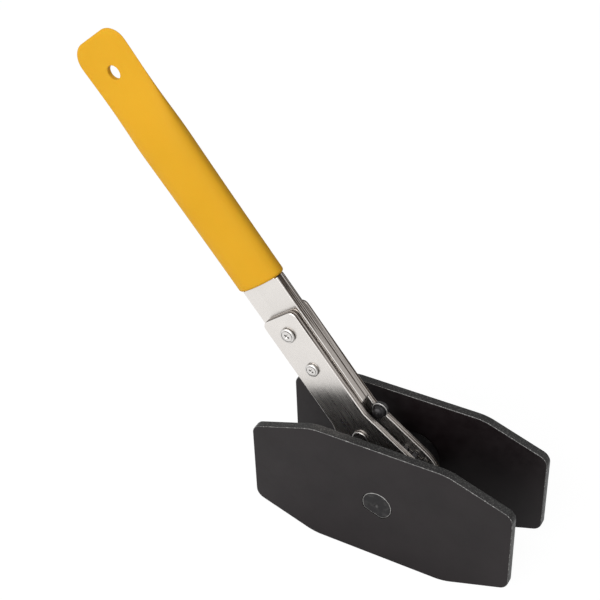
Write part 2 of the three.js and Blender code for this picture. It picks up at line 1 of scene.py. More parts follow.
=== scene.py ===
"""A ratcheting press for brake caliper pistons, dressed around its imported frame.

Every piece is drawn in millimetres in a local frame of its own and then put in its place, so that each
object sits at the origin with its place in its mesh. The local frames and the main sizes come from the
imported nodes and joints. Y runs along the ratchet axis. In the handle's frame Z runs along the handle,
away from the ratchet axis, and X runs across it.
"""

from __future__ import annotations

import json
import logging
import math
from collections.abc import Iterable
from dataclasses import dataclass, field
from enum import Enum

import bmesh
import bpy
from mathutils import Matrix, Vector


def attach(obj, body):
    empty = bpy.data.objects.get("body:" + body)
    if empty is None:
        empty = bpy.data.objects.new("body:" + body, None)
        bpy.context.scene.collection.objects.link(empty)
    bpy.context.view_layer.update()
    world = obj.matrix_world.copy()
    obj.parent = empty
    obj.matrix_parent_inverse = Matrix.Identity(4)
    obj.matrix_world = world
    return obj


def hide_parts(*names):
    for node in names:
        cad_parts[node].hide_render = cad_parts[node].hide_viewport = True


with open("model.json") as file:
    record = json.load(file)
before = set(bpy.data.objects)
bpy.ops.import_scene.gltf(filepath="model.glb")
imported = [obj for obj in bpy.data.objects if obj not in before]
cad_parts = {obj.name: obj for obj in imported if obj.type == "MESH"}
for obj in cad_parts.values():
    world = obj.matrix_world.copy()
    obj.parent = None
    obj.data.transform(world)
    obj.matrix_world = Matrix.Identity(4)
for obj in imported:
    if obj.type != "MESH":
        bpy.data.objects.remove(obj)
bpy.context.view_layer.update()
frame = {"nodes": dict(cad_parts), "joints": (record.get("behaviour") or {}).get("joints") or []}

Mesh = bmesh.types.BMesh
Socket = bpy.types.NodeSocket
Colour = tuple[float, float, float]

LOG = logging.getLogger("caliper_press")
MILLIMETRE = 0.001
ORIGIN = (0, 0, 0)
WIDER_THAN_ALL = 200

# Points this close, in millimetres, are merged.
WELD = 0.0005
# Faces that meet at more than this are shaded as a sharp edge.
SMOOTH_ANGLE = math.radians(34)
# How much of its length a face's normal has along Y, on a flat piece's wall and on its broad face.
WALL_LIMIT = 0.35
FACE_LIMIT = 0.96


class Join(Enum):
    """How one solid is combined with another."""

    ADD = "UNION"
    CUT = "DIFFERENCE"


class Part(Enum):
    """Which stretch of a flat piece's surface a face belongs to; the value is its material slot."""

    FACE = 0
    WALL = 1
    ROUNDED = 2


# Local frames ----------------------------------------------------------------------------------------


@dataclass(frozen=True)
class Seat:
    """A local frame in millimetres."""

    matrix: Matrix

    def extent(self, node: str) -> tuple[Vector, Vector]:
        """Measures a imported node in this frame.

        Args:
            node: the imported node's name.

        Returns:
            Its lowest and highest corners, in millimetres.
        """
        inverse = self.matrix.inverted()
        places = [inverse @ vertex.co for vertex in frame["nodes"][node].data.vertices]
        low = Vector(min(place[axis] for place in places) for axis in range(3))
        high = Vector(max(place[axis] for place in places) for axis in range(3))
        return low, high

    def moved(self, x: float = 0.0, y: float = 0.0, z: float = 0.0, turn: float = 0.0) -> Seat:
        """Makes a frame shifted within this one and then turned about its own Y.

        Args:
            x: shift along X, in millimetres.
            y: shift along Y, in millimetres.
            z: shift along Z, in millimetres.
            turn: turn about Y, in radians.

        Returns:
            The new frame.
        """
        return Seat(self.matrix @ Matrix.Translation((x, y, z)) @ Matrix.Rotation(turn, 4, "Y"))


def joint_place(name: str) -> Vector:
    """Finds where a hinge sits.

    Args:
        name: the joint's name.

    Returns:
        A point on its axis, in metres.
    """
    return Vector(next(joint["pos_m"] for joint in frame["joints"] if joint["name"] == name))


RATCHET_AXIS = joint_place("handle_swing")
PAWL_PIVOT = joint_place("selector_throw")
ALONG_HANDLE = (PAWL_PIVOT - RATCHET_AXIS).normalized()
HANDLE_TILT = math.atan2(ALONG_HANDLE.x, ALONG_HANDLE.z)

RATCHET_SEAT = Seat(Matrix.Translation(RATCHET_AXIS) @ Matrix.Scale(MILLIMETRE, 4))
HANDLE_SEAT = RATCHET_SEAT.moved(turn=HANDLE_TILT)
PAWL_SEAT = HANDLE_SEAT.moved(z=(PAWL_PIVOT - RATCHET_AXIS).length / MILLIMETRE)


# Mesh tools ------------------------------------------------------------------------------------------


def welded(mesh: Mesh, distance: float = WELD) -> Mesh:
    """Merges a mesh's doubled vertices and turns its faces outwards.

    Args:
        mesh: the mesh, which is changed.
        distance: how close two vertices are merged, in millimetres.

    Returns:
        The same mesh.
    """
    bmesh.ops.remove_doubles(mesh, verts=mesh.verts, dist=distance)
    bmesh.ops.dissolve_degenerate(mesh, edges=mesh.edges, dist=distance / 5)
    bmesh.ops.recalc_face_normals(mesh, faces=mesh.faces)
    return mesh


def shift(mesh: Mesh, x: float = 0.0, y: float = 0.0, z: float = 0.0) -> None:
    """Moves a mesh."""
    bmesh.ops.translate(mesh, verts=mesh.verts, vec=(x, y, z))


def rotate(mesh: Mesh, angle: float, axis: str) -> None:
    """Turns a mesh about an axis through its origin."""
    bmesh.ops.rotate(mesh, verts=mesh.verts, cent=ORIGIN, matrix=Matrix.Rotation(angle, 3, axis))


def stretch(mesh: Mesh, x: float = 1.0, y: float = 1.0, z: float = 1.0) -> None:
    """Scales a mesh along its three ways."""
    bmesh.ops.scale(mesh, verts=mesh.verts, vec=(x, y, z))


def thicken(mesh: Mesh, height: float) -> None:
    """Pulls a flat mesh up along Y into a closed piece.

    Args:
        mesh: the flat mesh, which is changed.
        height: how thick it becomes.
    """
    grown = bmesh.ops.extrude_face_region(mesh, geom=mesh.faces[:])
    top = [item for item in grown["geom"] if isinstance(item, bmesh.types.BMVert)]
    bmesh.ops.translate(mesh, verts=top, vec=(0, height, 0))
    bmesh.ops.recalc_face_normals(mesh, faces=mesh.faces)


def turned(profile: Iterable[tuple[float, float]], steps: int = 64, ring: bool = False) -> Mesh:
    """Spins a profile about Y.

    Args:
        profile: points of (radius, place along Y), from one pole to the other, or round a ring's section.
        steps: facets round the piece.
        ring: True where the profile closes on itself.

    Returns:
        A closed mesh.
    """
    mesh = bmesh.new()
    points = [mesh.verts.new((radius, place, 0)) for radius, place in profile]
    pairs = list(zip(points, points[1:]))
    if ring:
        pairs.append((points[-1], points[0]))
    for pair in pairs:
        mesh.edges.new(pair)
    bmesh.ops.spin(
        mesh, geom=mesh.verts[:] + mesh.edges[:], cent=ORIGIN, axis=(0, 1, 0),
        angle=math.tau, steps=steps, use_merge=True,
    )
    return welded(mesh)


def round_bar(radius: float, low: float, high: float, steps: int = 48, chamfer: float = 0.0) -> Mesh:
    """Makes a round bar along Y.

    Args:
        radius: its radius.
        low: its lower end.
        high: its upper end.
        steps: facets round it.
        chamfer: how far its two rims are cut back.

    Returns:
        A closed mesh.
    """
    if chamfer == 0.0:
        return turned([(0, low), (radius, low), (radius, high), (0, high)], steps)
    return turned([
        (0, low), (radius - chamfer, low), (radius, low + chamfer),
        (radius, high - chamfer), (radius - chamfer, high), (0, high),
    ], steps)


def combined(body: Mesh, tool: Mesh, how: Join = Join.CUT) -> Mesh:
    """Cuts a tool out of a body, or joins it on.

    Args:
        body: the mesh that is changed; it is freed.
        tool: the mesh that is cut out or added; it is freed.
        how: which of the two is done.

    Returns:
        The new closed mesh.
    """
    makers = []
    for name, source in (("body", body), ("tool", tool)):
        data = bpy.data.meshes.new(name)
        source.to_mesh(data)
        source.free()
        maker = bpy.data.objects.new(name, data)
        bpy.context.scene.collection.objects.link(maker)
        makers.append(maker)
    base, other = makers
    boolean = base.modifiers.new("join", "BOOLEAN")
    boolean.object = other
    boolean.operation = how.value
    boolean.solver = "EXACT"
    result = bmesh.new()
    result.from_object(base, bpy.context.evaluated_depsgraph_get())
    for maker in makers:
        data = maker.data
        bpy.data.objects.remove(maker)
        bpy.data.meshes.remove(data)
    return welded(result)


class Outline:
    """A closed outline in X and Z, made into a flat piece with its normal along Y."""

    def __init__(self) -> None:
        """Starts with no points."""
        self.mesh = bmesh.new()
        self.chain: list[bmesh.types.BMVert] = []
        self.rounds: dict[bmesh.types.BMVert, float] = {}

    def to(self, x: float, z: float, rounding: float = 0.0) -> Outline:
        """Adds a corner.

        Args:
            x: its place across.
            z: its place along.
            rounding: the radius that rounds it.

        Returns:
            This outline.
        """
        point = self.mesh.verts.new((x, 0, z))
        if self.chain:
            self.mesh.edges.new((self.chain[-1], point))
        self.chain.append(point)
        if rounding:
            self.rounds[point] = rounding
        return self

    def arc(self, x: float, z: float, angle: float, steps: int) -> Outline:
        """Carries on round a centre from the last point.

        Args:
            x: the centre's place across.
            z: the centre's place along.
            angle: how far round, in radians, turning Z towards X.
            steps: chords in the arc.

        Returns:
            This outline.
        """
        made = bmesh.ops.spin(
            self.mesh, geom=[self.chain[-1]], cent=(x, 0, z), axis=(0, 1, 0), angle=angle, steps=steps,
        )
        self.chain.append(made["geom_last"][0])
        return self

    def solid(self, low: float, high: float, rim: float = 0.0, segments: int = 3, corner: int = 6) -> Mesh:
        """Closes the outline and gives it its thickness.

        Args:
            low: the lower face's place along Y.
            high: the upper face's place along Y.
            rim: how wide the rounding of both rims is.
            segments: facets across that rounding.
            corner: facets round each rounded corner.

        Returns:
            A closed mesh.
        """
        self.mesh.edges.new((self.chain[-1], self.chain[0]))
        bmesh.ops.contextual_create(self.mesh, geom=self.mesh.edges[:])
        for point, rounding in self.rounds.items():
            first, second = ((edge.other_vert(point).co - point.co).normalized() for edge in point.link_edges)
            reach = rounding / math.tan(first.angle(second) / 2)
            bmesh.ops.bevel(
                self.mesh, geom=[point], offset=reach, segments=corner, profile=0.5,
                affect="VERTICES", clamp_overlap=False, material=-1,
            )
        shift(self.mesh, y=low)
        thicken(self.mesh, high - low)
        if rim:
            soften(self.mesh, rim, segments)
        return welded(self.mesh)


def soften(mesh: Mesh, width: float, segments: int = 2, sharper_than: float = 50.0) -> None:
    """Rounds a mesh's sharp edges.

    Args:
        mesh: the mesh, which is changed.
        width: how far the rounding reaches.
        segments: facets across it.
        sharper_than: the turn in degrees past which an edge counts as sharp.
    """
    mesh.normal_update()
    limit = math.radians(sharper_than)
    edges = [edge for edge in mesh.edges if edge.is_manifold and edge.calc_face_angle(0.0) > limit]
    bmesh.ops.bevel(
        mesh, geom=edges, offset=width, segments=segments, profile=0.5,
        affect="EDGES", clamp_overlap=True, material=-1,
    )


def helix(section: Iterable[tuple[float, float]], pitch: float, turns: float, steps: int = 40) -> Mesh:
    """Sweeps a small section round Y while it climbs.

    Args:
        section: corners of (radius, place along Y).
        pitch: the climb of one turn; negative for a left-hand screw.
        turns: how many turns it makes.
        steps: facets in one turn.

    Returns:
        A closed mesh.
    """
    mesh = bmesh.new()
    start = mesh.faces.new([mesh.verts.new((radius, place, 0)) for radius, place in section])
    count = round(turns * steps)
    bmesh.ops.spin(
        mesh, geom=[start, *start.edges, *start.verts], cent=ORIGIN, axis=(0, 1, 0),
        dvec=(0, pitch / steps, 0), angle=math.tau * count / steps, steps=count,
    )
    open_edges = [edge for edge in mesh.edges if edge.is_boundary]
    if open_edges:
        bmesh.ops.holes_fill(mesh, edges=open_edges)
    return welded(mesh)


# Finishes --------------------------------------------------------------------------------------------


class Recipe:
    """The nodes of one material."""

    def __init__(self, name: str) -> None:
        """Makes an empty material.

        Args:
            name: the material's name.
        """
        self.material = bpy.data.materials.new(name)
        self.material.use_nodes = True
        self.tree = self.material.node_tree
        self.shader = self.tree.nodes["Principled BSDF"]
        self.coordinates = self.add("ShaderNodeTexCoord").outputs["Object"]

    def add(self, kind: str, inputs: dict | None = None, **settings: object) -> bpy.types.Node:
        """Adds a node.

        Args:
            kind: the node's type.
            inputs: values or sockets for its inputs, by name or number.
            settings: its own properties.

        Returns:
            The node.
        """
        node = self.tree.nodes.new(kind)
        for key, value in settings.items():
            setattr(node, key, value)
        for key, value in (inputs or {}).items():
            self.feed(node, key, value)
        return node

    def feed(self, node: bpy.types.Node, key: str | int, value: object) -> None:
        """Sets one input of a node.

        Args:
            node: the node.
            key: the input's name or number.
            value: a number, a colour or another node's output.
        """
        socket = node.inputs[key]
        if isinstance(value, Socket):
            self.tree.links.new(value, socket)
        elif socket.type == "RGBA":
            socket.default_value = (*value, 1.0)
        else:
            socket.default_value = value

    def dress(self, **inputs: object) -> None:
        """Sets inputs of the surface shader; an underscore stands for a space in an input's name."""
        for key, value in inputs.items():
            self.feed(self.shader, key.replace("_", " "), value)

    def stretched(self, along: float, across: float, through: float, turn: float = 0.0) -> Socket:
        """Gives coordinates turned to a piece and scaled along its three ways.

        Args:
            along: scale along Z.
            across: scale along X.
            through: scale along Y.
            turn: the piece's turn about Y, in radians.

        Returns:
            The coordinates' socket.
        """
        turned_back = self.add("ShaderNodeMapping", {
            "Vector": self.coordinates, "Rotation": (0.0, -turn, 0.0),
        })
        scaled = self.add("ShaderNodeMapping", {
            "Vector": turned_back.outputs[0], "Scale": (across, through, along),
        })
        return scaled.outputs[0]

    def noise(self, scale: float, detail: float = 3.0, vector: Socket | None = None,
              roughness: float = 0.55) -> Socket:
        """Adds a noise pattern and gives its value, from 0 to 1.

        Args:
            scale: how fine it is.
            detail: how many finer layers it has.
            vector: coordinates that stretch it.
            roughness: how strong the finer layers are.

        Returns:
            The pattern's socket.
        """
        node = self.add("ShaderNodeTexNoise", {
            "Vector": vector or self.coordinates, "Scale": scale, "Detail": detail, "Roughness": roughness,
        })
        return node.outputs[0]

    def ranged(self, value: Socket, low: float, high: float,
               start: float = 0.3, end: float = 0.7) -> Socket:
        """Spreads a pattern's values from start and end to low and high.

        Args:
            value: the pattern.
            low: what start becomes.
            high: what end becomes.
            start: the pattern's lower value.
            end: the pattern's higher value.

        Returns:
            The new value's socket.
        """
        node = self.add("ShaderNodeMapRange", {
            "Value": value, "From Min": start, "From Max": end, "To Min": low, "To Max": high,
        })
        return node.outputs[0]

    def blended(self, share: Socket | float, first: object, second: object) -> Socket:
        """Mixes two colours by a share from 0 to 1.

        Args:
            share: how much of the second colour there is.
            first: a colour or a socket.
            second: a colour or a socket.

        Returns:
            The colour's socket.
        """
        node = self.add("ShaderNodeMix", {0: share, 6: first, 7: second}, data_type="RGBA")
        return node.outputs[2]

    def reckoned(self, how: str, first: Socket | float, second: Socket | float) -> Socket:
        """Works out a sum of two values.

        Args:
            how: Blender's name for the sum.
            first: a number or a socket.
            second: a number or a socket.

        Returns:
            The result's socket.
        """
        return self.add("ShaderNodeMath", {0: first, 1: second}, operation=how).outputs[0]

    def bumped(self, height: Socket, strength: float, depth: float,
               under: Socket | None = None) -> Socket:
        """Makes a bump from a height pattern; depth is in metres.

        Args:
            height: the pattern.
            strength: its share, from 0 to 1.
            depth: how deep it is, in metres.
            under: the normal of a bump that it lies on.

        Returns:
            The normal's socket.
        """
        inputs: dict = {"Height": height, "Strength": strength, "Distance": depth}
        if under is not None:
            inputs["Normal"] = under
        return self.add("ShaderNodeBump", inputs).outputs[0]


@dataclass(frozen=True)
class PressCoat:
    """Satin black coat of the press plates: fine orange peel over a faint mottle."""

    name: str
    dark: Colour = (0.0045, 0.0022, 0.0028)
    light: Colour = (0.0095, 0.0062, 0.007)
    smooth: float = 0.36
    rough: float = 0.5
    # Bright specks: painted glints along the edges, partly real wear; none unless a share is given.
    glint_and_wear_speck: Colour = (0.085, 0.083, 0.08)
    glint_and_wear_share: float = 0.0
    shine: float = 0.3

    def material(self) -> bpy.types.Material:
        """Builds the material.

        Returns:
            The material.
        """
        recipe = Recipe(self.name)
        mottle = recipe.noise(scale=60.0, detail=4.0)
        colour = recipe.blended(recipe.ranged(mottle, 0.0, 1.0), self.dark, self.light)
        grit = recipe.noise(scale=1500.0, detail=2.0)
        glint_and_wear_mask = recipe.ranged(grit, 0.0, self.glint_and_wear_share, start=0.5, end=0.68)
        colour = recipe.blended(glint_and_wear_mask, colour, self.glint_and_wear_speck)
        peel = recipe.noise(scale=900.0, detail=2.0)
        recipe.dress(
            Base_Color=colour,
            Roughness=recipe.ranged(recipe.noise(scale=240.0), self.smooth, self.rough),
            Specular_IOR_Level=self.shine,
            Normal=recipe.bumped(peel, strength=0.25, depth=0.00006),
        )
        return recipe.material


@dataclass(frozen=True)
class BlackOxide:
    """Oiled black oxide on turned and milled steel: near black, with faint tool marks and rubbed spots."""

    name: str
    dark: Colour = (0.014, 0.013, 0.014)
    rubbed: Colour = (0.075, 0.072, 0.07)
    smooth: float = 0.3
    rough: float = 0.52
    metal: float = 0.55

    def material(self) -> bpy.types.Material:
        """Builds the material.

        Returns:
            The material.
        """
        recipe = Recipe(self.name)
        cloud = recipe.noise(scale=350.0, detail=4.0)
        patches = recipe.ranged(cloud, 0.0, 0.5, start=0.52, end=0.72)
        around = recipe.stretched(along=300.0, across=300.0, through=3500.0)
        rings = recipe.noise(scale=1.0, detail=2.0, vector=around)
        recipe.dress(
            Base_Color=recipe.blended(patches, self.dark, self.rubbed),
            Metallic=self.metal,
            Roughness=recipe.ranged(rings, self.smooth, self.rough),
            Normal=recipe.bumped(rings, strength=0.12, depth=0.00004),
        )
        return recipe.material


@dataclass(frozen=True)
class SatinPlate:
    """Satin nickel plate on rolled steel, brushed faintly along the handle."""

    name: str
    colour: Colour = (0.785, 0.752, 0.72)
    shade: Colour = (0.72, 0.69, 0.66)
    smooth: float = 0.24
    rough: float = 0.34
    turn: float = HANDLE_TILT

    def material(self) -> bpy.types.Material:
        """Builds the material.

        Returns:
            The material.
        """
        recipe = Recipe(self.name)
        strokes = recipe.stretched(along=60.0, across=2600.0, through=2600.0, turn=self.turn)
        brushed = recipe.noise(scale=1.0, vector=strokes)
        cloud = recipe.noise(scale=70.0)
        waves = recipe.bumped(cloud, strength=0.08, depth=0.0001)
        recipe.dress(
            Base_Color=recipe.blended(recipe.ranged(cloud, 0.0, 0.6), self.colour, self.shade),
            Metallic=1.0,
            Roughness=recipe.ranged(brushed, self.smooth, self.rough),
            Normal=recipe.bumped(brushed, strength=0.03, depth=0.00002, under=waves),
        )
        return recipe.material


@dataclass(frozen=True)
class ShearedEdge:
    """Blanked edge of plated steel: a burnished band and a torn band, both streaked through the plate."""

    name: str
    bright: Colour = (0.38, 0.35, 0.325)
    torn: Colour = (0.022, 0.019, 0.017)
    rust: Colour = (0.06, 0.04, 0.028)
    turn: float = HANDLE_TILT

    def material(self) -> bpy.types.Material:
        """Builds the material.

        Returns:
            The material.
        """
        recipe = Recipe(self.name)
        layers = recipe.stretched(along=14.0, across=14.0, through=1250.0, turn=self.turn)
        bands = recipe.noise(scale=1.0, vector=layers)
        grit = recipe.stretched(along=1500.0, across=1500.0, through=500.0, turn=self.turn)
        grains = recipe.noise(scale=1.0, vector=grit)
        worn = recipe.blended(recipe.ranged(grains, 0.0, 1.0), self.torn, self.rust)
        colour = recipe.blended(recipe.ranged(bands, 0.0, 1.0, start=0.46, end=0.54), worn, self.bright)
        steps = recipe.bumped(bands, strength=0.3, depth=0.0001)
        recipe.dress(
            Base_Color=colour,
            Metallic=0.85,
            Roughness=recipe.ranged(grains, 0.35, 0.55),
            Normal=recipe.bumped(grains, strength=0.35, depth=0.0001, under=steps),
        )
        return recipe.material


@dataclass(frozen=True)
class SleeveVinyl:
    """Smooth yellow vinyl with a soft sheen and slight handling marks."""

    name: str
    colour: Colour = (0.80, 0.42, 0.026)
    deep: Colour = (0.76, 0.39, 0.02)
    smooth: float = 0.4
    rough: float = 0.52
    shine: float = 0.06
    glow: float = 0.08
    glow_depth: float = 0.002

    def material(self) -> bpy.types.Material:
        """Builds the material.

        Returns:
            The material.
        """
        recipe = Recipe(self.name)
        cloud = recipe.noise(scale=28.0)
        pores = recipe.noise(scale=1400.0, detail=2.0)
        dips = recipe.noise(scale=90.0, detail=2.0)
        waves = recipe.bumped(dips, strength=0.12, depth=0.0003)
        recipe.dress(
            Base_Color=recipe.blended(recipe.ranged(cloud, 0.0, 0.7), self.colour, self.deep),
            Roughness=recipe.ranged(recipe.noise(scale=180.0), self.smooth, self.rough),
            Specular_IOR_Level=self.shine,
            Subsurface_Weight=self.glow,
            Subsurface_Scale=self.glow_depth,
            Normal=recipe.bumped(pores, strength=0.12, depth=0.00005, under=waves),
        )
        return recipe.material


class Finishes:
    """Every finish, made once and shared by the pieces that have it."""

    def __init__(self) -> None:
        """Makes the materials."""
        self.coat = [
            PressCoat("press_coat").material(),
            # Walls: the bright specks are painted glints along the plate edges, partly real wear.
            PressCoat(
                "press_coat_rim_glints_and_wear", dark=(0.004, 0.0038, 0.0038), light=(0.012, 0.0112, 0.011), smooth=0.34,
                glint_and_wear_speck=(0.1, 0.097, 0.094), glint_and_wear_share=0.6, shine=0.2,
            ).material(),
            # Rounded edges: a much lighter coat with bright specks is a painted highlight along the bevels,
            # partly real wear.
            PressCoat(
                "press_coat_corner_highlight_and_wear", dark=(0.05, 0.048, 0.047), light=(0.11, 0.107, 0.104), smooth=0.28,
                rough=0.4, glint_and_wear_speck=(0.5, 0.49, 0.48), glint_and_wear_share=0.8, shine=0.5,
            ).material(),
        ]
        self.oxide = [BlackOxide("black_oxide").material()]
        # The third slot, for rounded faces, is a pale copy of the oxide: a painted highlight along the edges,
        # partly real rubbed wear.
        self.oxide_worn_and_highlit = [
            self.oxide[0], self.oxide[0],
            BlackOxide(
                "black_oxide_edge_highlight_and_wear", dark=(0.35, 0.34, 0.33), rubbed=(0.8, 0.79, 0.78),
                smooth=0.25, rough=0.4, metal=0.3,
            ).material(),
        ]
        self.steel = [
            SatinPlate("satin_plate").material(),
            ShearedEdge("sheared_edge").material(),
            # Rounded edges: a lighter, smoother copy of the plating is a painted highlight along the edges.
            SatinPlate(
                "satin_corner_painted_highlight", colour=(0.84, 0.81, 0.78), shade=(0.74, 0.71, 0.68), smooth=0.16, rough=0.24,
            ).material(),
        ]
        self.screw = [
            SatinPlate("screw_plate", colour=(0.76, 0.74, 0.72), shade=(0.66, 0.64, 0.62)).material(),
            # Walls: a dark copy of the plating is painted shade round the screw heads and in their ring
            # grooves.
            SatinPlate("screw_plate_side_painted_shade", colour=(0.30, 0.285, 0.27), shade=(0.18, 0.17, 0.16)).material(),
            # Rounded faces: a darker copy of the plating is painted shade that mutes the highlights on the
            # crowns.
            SatinPlate(
                "screw_plate_turned_painted_shade", colour=(0.60, 0.585, 0.57), shade=(0.46, 0.45, 0.44),
                smooth=0.28, rough=0.38,
            ).material(),
        ]
        self.vinyl = [SleeveVinyl("sleeve_vinyl").material()]


# Pieces ----------------------------------------------------------------------------------------------


@dataclass
class Assembly:
    """A sub-assembly: what its pieces share."""

    finishes: Finishes
    seat: Seat
    body: str

    def place(self, name: str, mesh: Mesh, materials: list[bpy.types.Material], slot: str,
              nodes: Iterable[str], seat: Seat | None = None) -> bpy.types.Object:
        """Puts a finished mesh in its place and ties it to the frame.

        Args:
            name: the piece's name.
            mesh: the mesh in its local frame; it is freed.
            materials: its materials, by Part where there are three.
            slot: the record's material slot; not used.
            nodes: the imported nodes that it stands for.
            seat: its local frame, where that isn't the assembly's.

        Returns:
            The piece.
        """
        welded(mesh)
        mesh.normal_update()
        if len(materials) == len(Part):
            for face in mesh.faces:
                face.material_index = self.part_of(face).value
        bmesh.ops.transform(mesh, matrix=(seat or self.seat).matrix, verts=mesh.verts)
        bmesh.ops.recalc_face_normals(mesh, faces=mesh.faces)
        data = bpy.data.meshes.new(name)
        mesh.to_mesh(data)
        mesh.free()
        data.shade_smooth()
        data.set_sharp_from_angle(angle=SMOOTH_ANGLE)
        for material in materials:
            data.materials.append(material)
        piece = bpy.data.objects.new(name, data)
        bpy.context.scene.collection.objects.link(piece)
        even = piece.modifiers.new("even_normals", "WEIGHTED_NORMAL")
        even.keep_sharp = True
        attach(piece, self.body)
        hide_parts(*nodes)
        LOG.info("%s: %d faces on %s", name, len(data.polygons), self.body)
        return piece

    def part_of(self, face: bmesh.types.BMFace) -> Part:
        """Says which stretch of a flat piece a face belongs to.

        Args:
            face: a face in the piece's local frame.

        Returns:
            The stretch.
        """
        tilt = abs(face.normal.y)
        if tilt > FACE_LIMIT:
            return Part.FACE
        return Part.WALL if tilt < WALL_LIMIT else Part.ROUNDED


@dataclass
class PressSide(Assembly):
    """One press plate and its screw stud."""

    side: str = "front"
    end_round: float = 5.0
    shoulder_round: float = 20.0
    middle_share: float = 0.516
    end_share: float = 0.659
    rim: float = 0.55
    key_gap: float = 0.3
    key_angle: float = math.radians(-110)
    spigot_flat: float = 5.6
    spigot_radius: float = 7.0
    thread_pitch: float = 2.0
    thread_depth: float = 1.1
    thread_crest_share: float = 0.18
    thread_run_in: float = 0.2
    thread_sink: float = 0.2
    shoulder_chamfer: float = 0.6
    tip_chamfer: float = 0.9
    spigot_rim: float = 0.25
    mark_radius: float = 1.2
    mark_zone: float = 2.0
    hole_lead: float = 0.35

    def build(self) -> None:
        """Builds both pieces."""
        turn = Matrix.Identity(4) if self.side == "front" else Matrix.Rotation(math.pi, 4, "Z")
        seat = Seat(self.seat.matrix @ turn)
        low, high = seat.extent(f"{self.side}_press_plate")
        self.place(f"{self.side}_press_plate_shaped", self.plate(low, high), self.finishes.coat,
                   "black_coat", [f"{self.side}_press_plate"], seat)
        low, high = seat.extent(f"{self.side}_stud")
        self.place(f"{self.side}_stud_threaded", self.stud(low, high), self.finishes.oxide_worn_and_highlit,
                   "black_oxide", [f"{self.side}_stud"], seat)

    def part_of(self, face: bmesh.types.BMFace) -> Part:
        """Keeps the painted edge highlight off the centre mark, so that it stays as dark as the spigot round
        it.

        Args:
            face: a face in the piece's local frame.

        Returns:
            The stretch that the face is dressed as.
        """
        part = super().part_of(face)
        middle = face.calc_center_median()
        in_mark = math.hypot(middle.x, middle.z) < self.mark_zone
        return Part.WALL if part is Part.ROUNDED and in_mark else part

    def keyed(self, radius: float, flat: float, low: float, high: float, rim: float = 0.0) -> Mesh:
        """Makes a round bar with one flat.

        Args:
            radius: the bar's radius.
            flat: the flat's distance from the axis.
            low: its lower end.
            high: its upper end.
            rim: how far its rims are rounded.

        Returns:
            A closed mesh.
        """
        half = math.acos(flat / radius)
        first = self.key_angle + half
        outline = Outline().to(radius * math.cos(first), radius * math.sin(first))
        return outline.arc(0, 0, -(math.tau - 2 * half), 48).solid(low, high, rim, 2)

    def plate(self, low: Vector, high: Vector) -> Mesh:
        """Makes the eight-sided plate with its keyed hole.

        Args:
            low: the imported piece's lowest corner.
            high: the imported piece's highest corner.

        Returns:
            A closed mesh.
        """
        end, top = high.x, high.z
        shoulder, corner = end * self.middle_share, top * self.end_share
        outline = Outline()
        for x, z, rounding in (
            (-end, -corner, self.end_round), (-shoulder, -top, self.shoulder_round),
            (shoulder, -top, self.shoulder_round), (end, -corner, self.end_round),
            (end, corner, self.end_round), (shoulder, top, self.shoulder_round),
            (-shoulder, top, self.shoulder_round), (-end, corner, self.end_round),
        ):
            outline.to(x, z, rounding)
        plate = outline.solid(low.y, high.y, self.rim)
        gap = self.key_gap
        hole = self.keyed(self.spigot_radius + gap, self.spigot_flat + gap, low.y - 1, high.y + 1)
        plate = combined(plate, hole)
        lead = self.hole_lead
        for face, inward in ((low.y, 1), (high.y, -1)):
            wide = self.spigot_radius + gap + lead
            flare = turned([(0, face - inward), (wide + 1, face - inward), (wide, face - inward * 0.001),
                            (wide - lead, face + inward * lead), (0, face + inward * lead)])
            keep = self.keyed(wide + 1, self.spigot_flat + gap, face - 2, face + 2)
            flare = trimmed(flare, keep)
            plate = combined(plate, flare)
        return plate

    def stud(self, low: Vector, high: Vector) -> Mesh:
        """Makes the stud: a keyed spigot, a threaded shank and a centre mark.

        Args:
            low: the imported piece's lowest corner.
            high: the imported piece's highest corner.

        Returns:
            A closed mesh.
        """
        radius = high.x
        core = radius - self.thread_depth
        shoulder = self.shoulder()
        foot, tip = self.shoulder_chamfer, self.tip_chamfer
        shank = turned([
            (0, shoulder), (core - foot, shoulder), (core, shoulder + foot),
            (core, high.y - tip), (core - tip, high.y), (0, high.y),
        ])
        spigot = self.keyed(self.spigot_radius, self.spigot_flat, low.y, shoulder + 1, self.spigot_rim)
        body = combined(shank, spigot, Join.ADD)
        mark = turned([(0, low.y + self.mark_radius), (self.mark_radius, low.y),
                       (self.mark_radius, low.y - 1), (0, low.y - 1)], 32)
        body = combined(body, mark)
        half = self.thread_pitch / 2
        crest = half * self.thread_crest_share
        inset = half + self.thread_run_in
        hand = 1 if self.side == "front" else -1
        turns = (high.y - shoulder - 2 * inset) / self.thread_pitch
        start = shoulder + inset if hand > 0 else high.y - inset
        foot = core - self.thread_sink
        ridge = helix([
            (foot, start - half), (radius, start - crest), (radius, start + crest), (foot, start + half),
        ], self.thread_pitch * hand, turns)
        return with_shell(body, ridge)

    def shoulder(self) -> float:
        """Finds where the stud's shank meets its spigot.

        Returns:
            Its place along Y, in the turned frame.
        """
        low, high = self.seat.extent(f"{self.side}_press_plate")
        inner = high.y if self.side == "front" else low.y
        return self.key_gap - abs(inner)


def trimmed(body: Mesh, keep: Mesh) -> Mesh:
    """Keeps only what a body shares with another, both of which are freed.

    Args:
        body: the mesh that is trimmed.
        keep: the mesh that says what stays.

    Returns:
        The closed mesh of what they share.
    """
    outside = bmesh.new()
    bmesh.ops.create_cube(outside, size=WIDER_THAN_ALL)
    return combined(body, combined(outside, keep))


def with_shell(body: Mesh, shell: Mesh) -> Mesh:
    """Adds a second closed shell to a mesh as it is; the shell is freed.

    Args:
        body: the mesh that gets it.
        shell: the closed mesh that is added.

    Returns:
        The first mesh.
    """
    data = bpy.data.meshes.new("shell")
    shell.to_mesh(data)
    shell.free()
    body.from_mesh(data)
    bpy.data.meshes.remove(data)
    return body


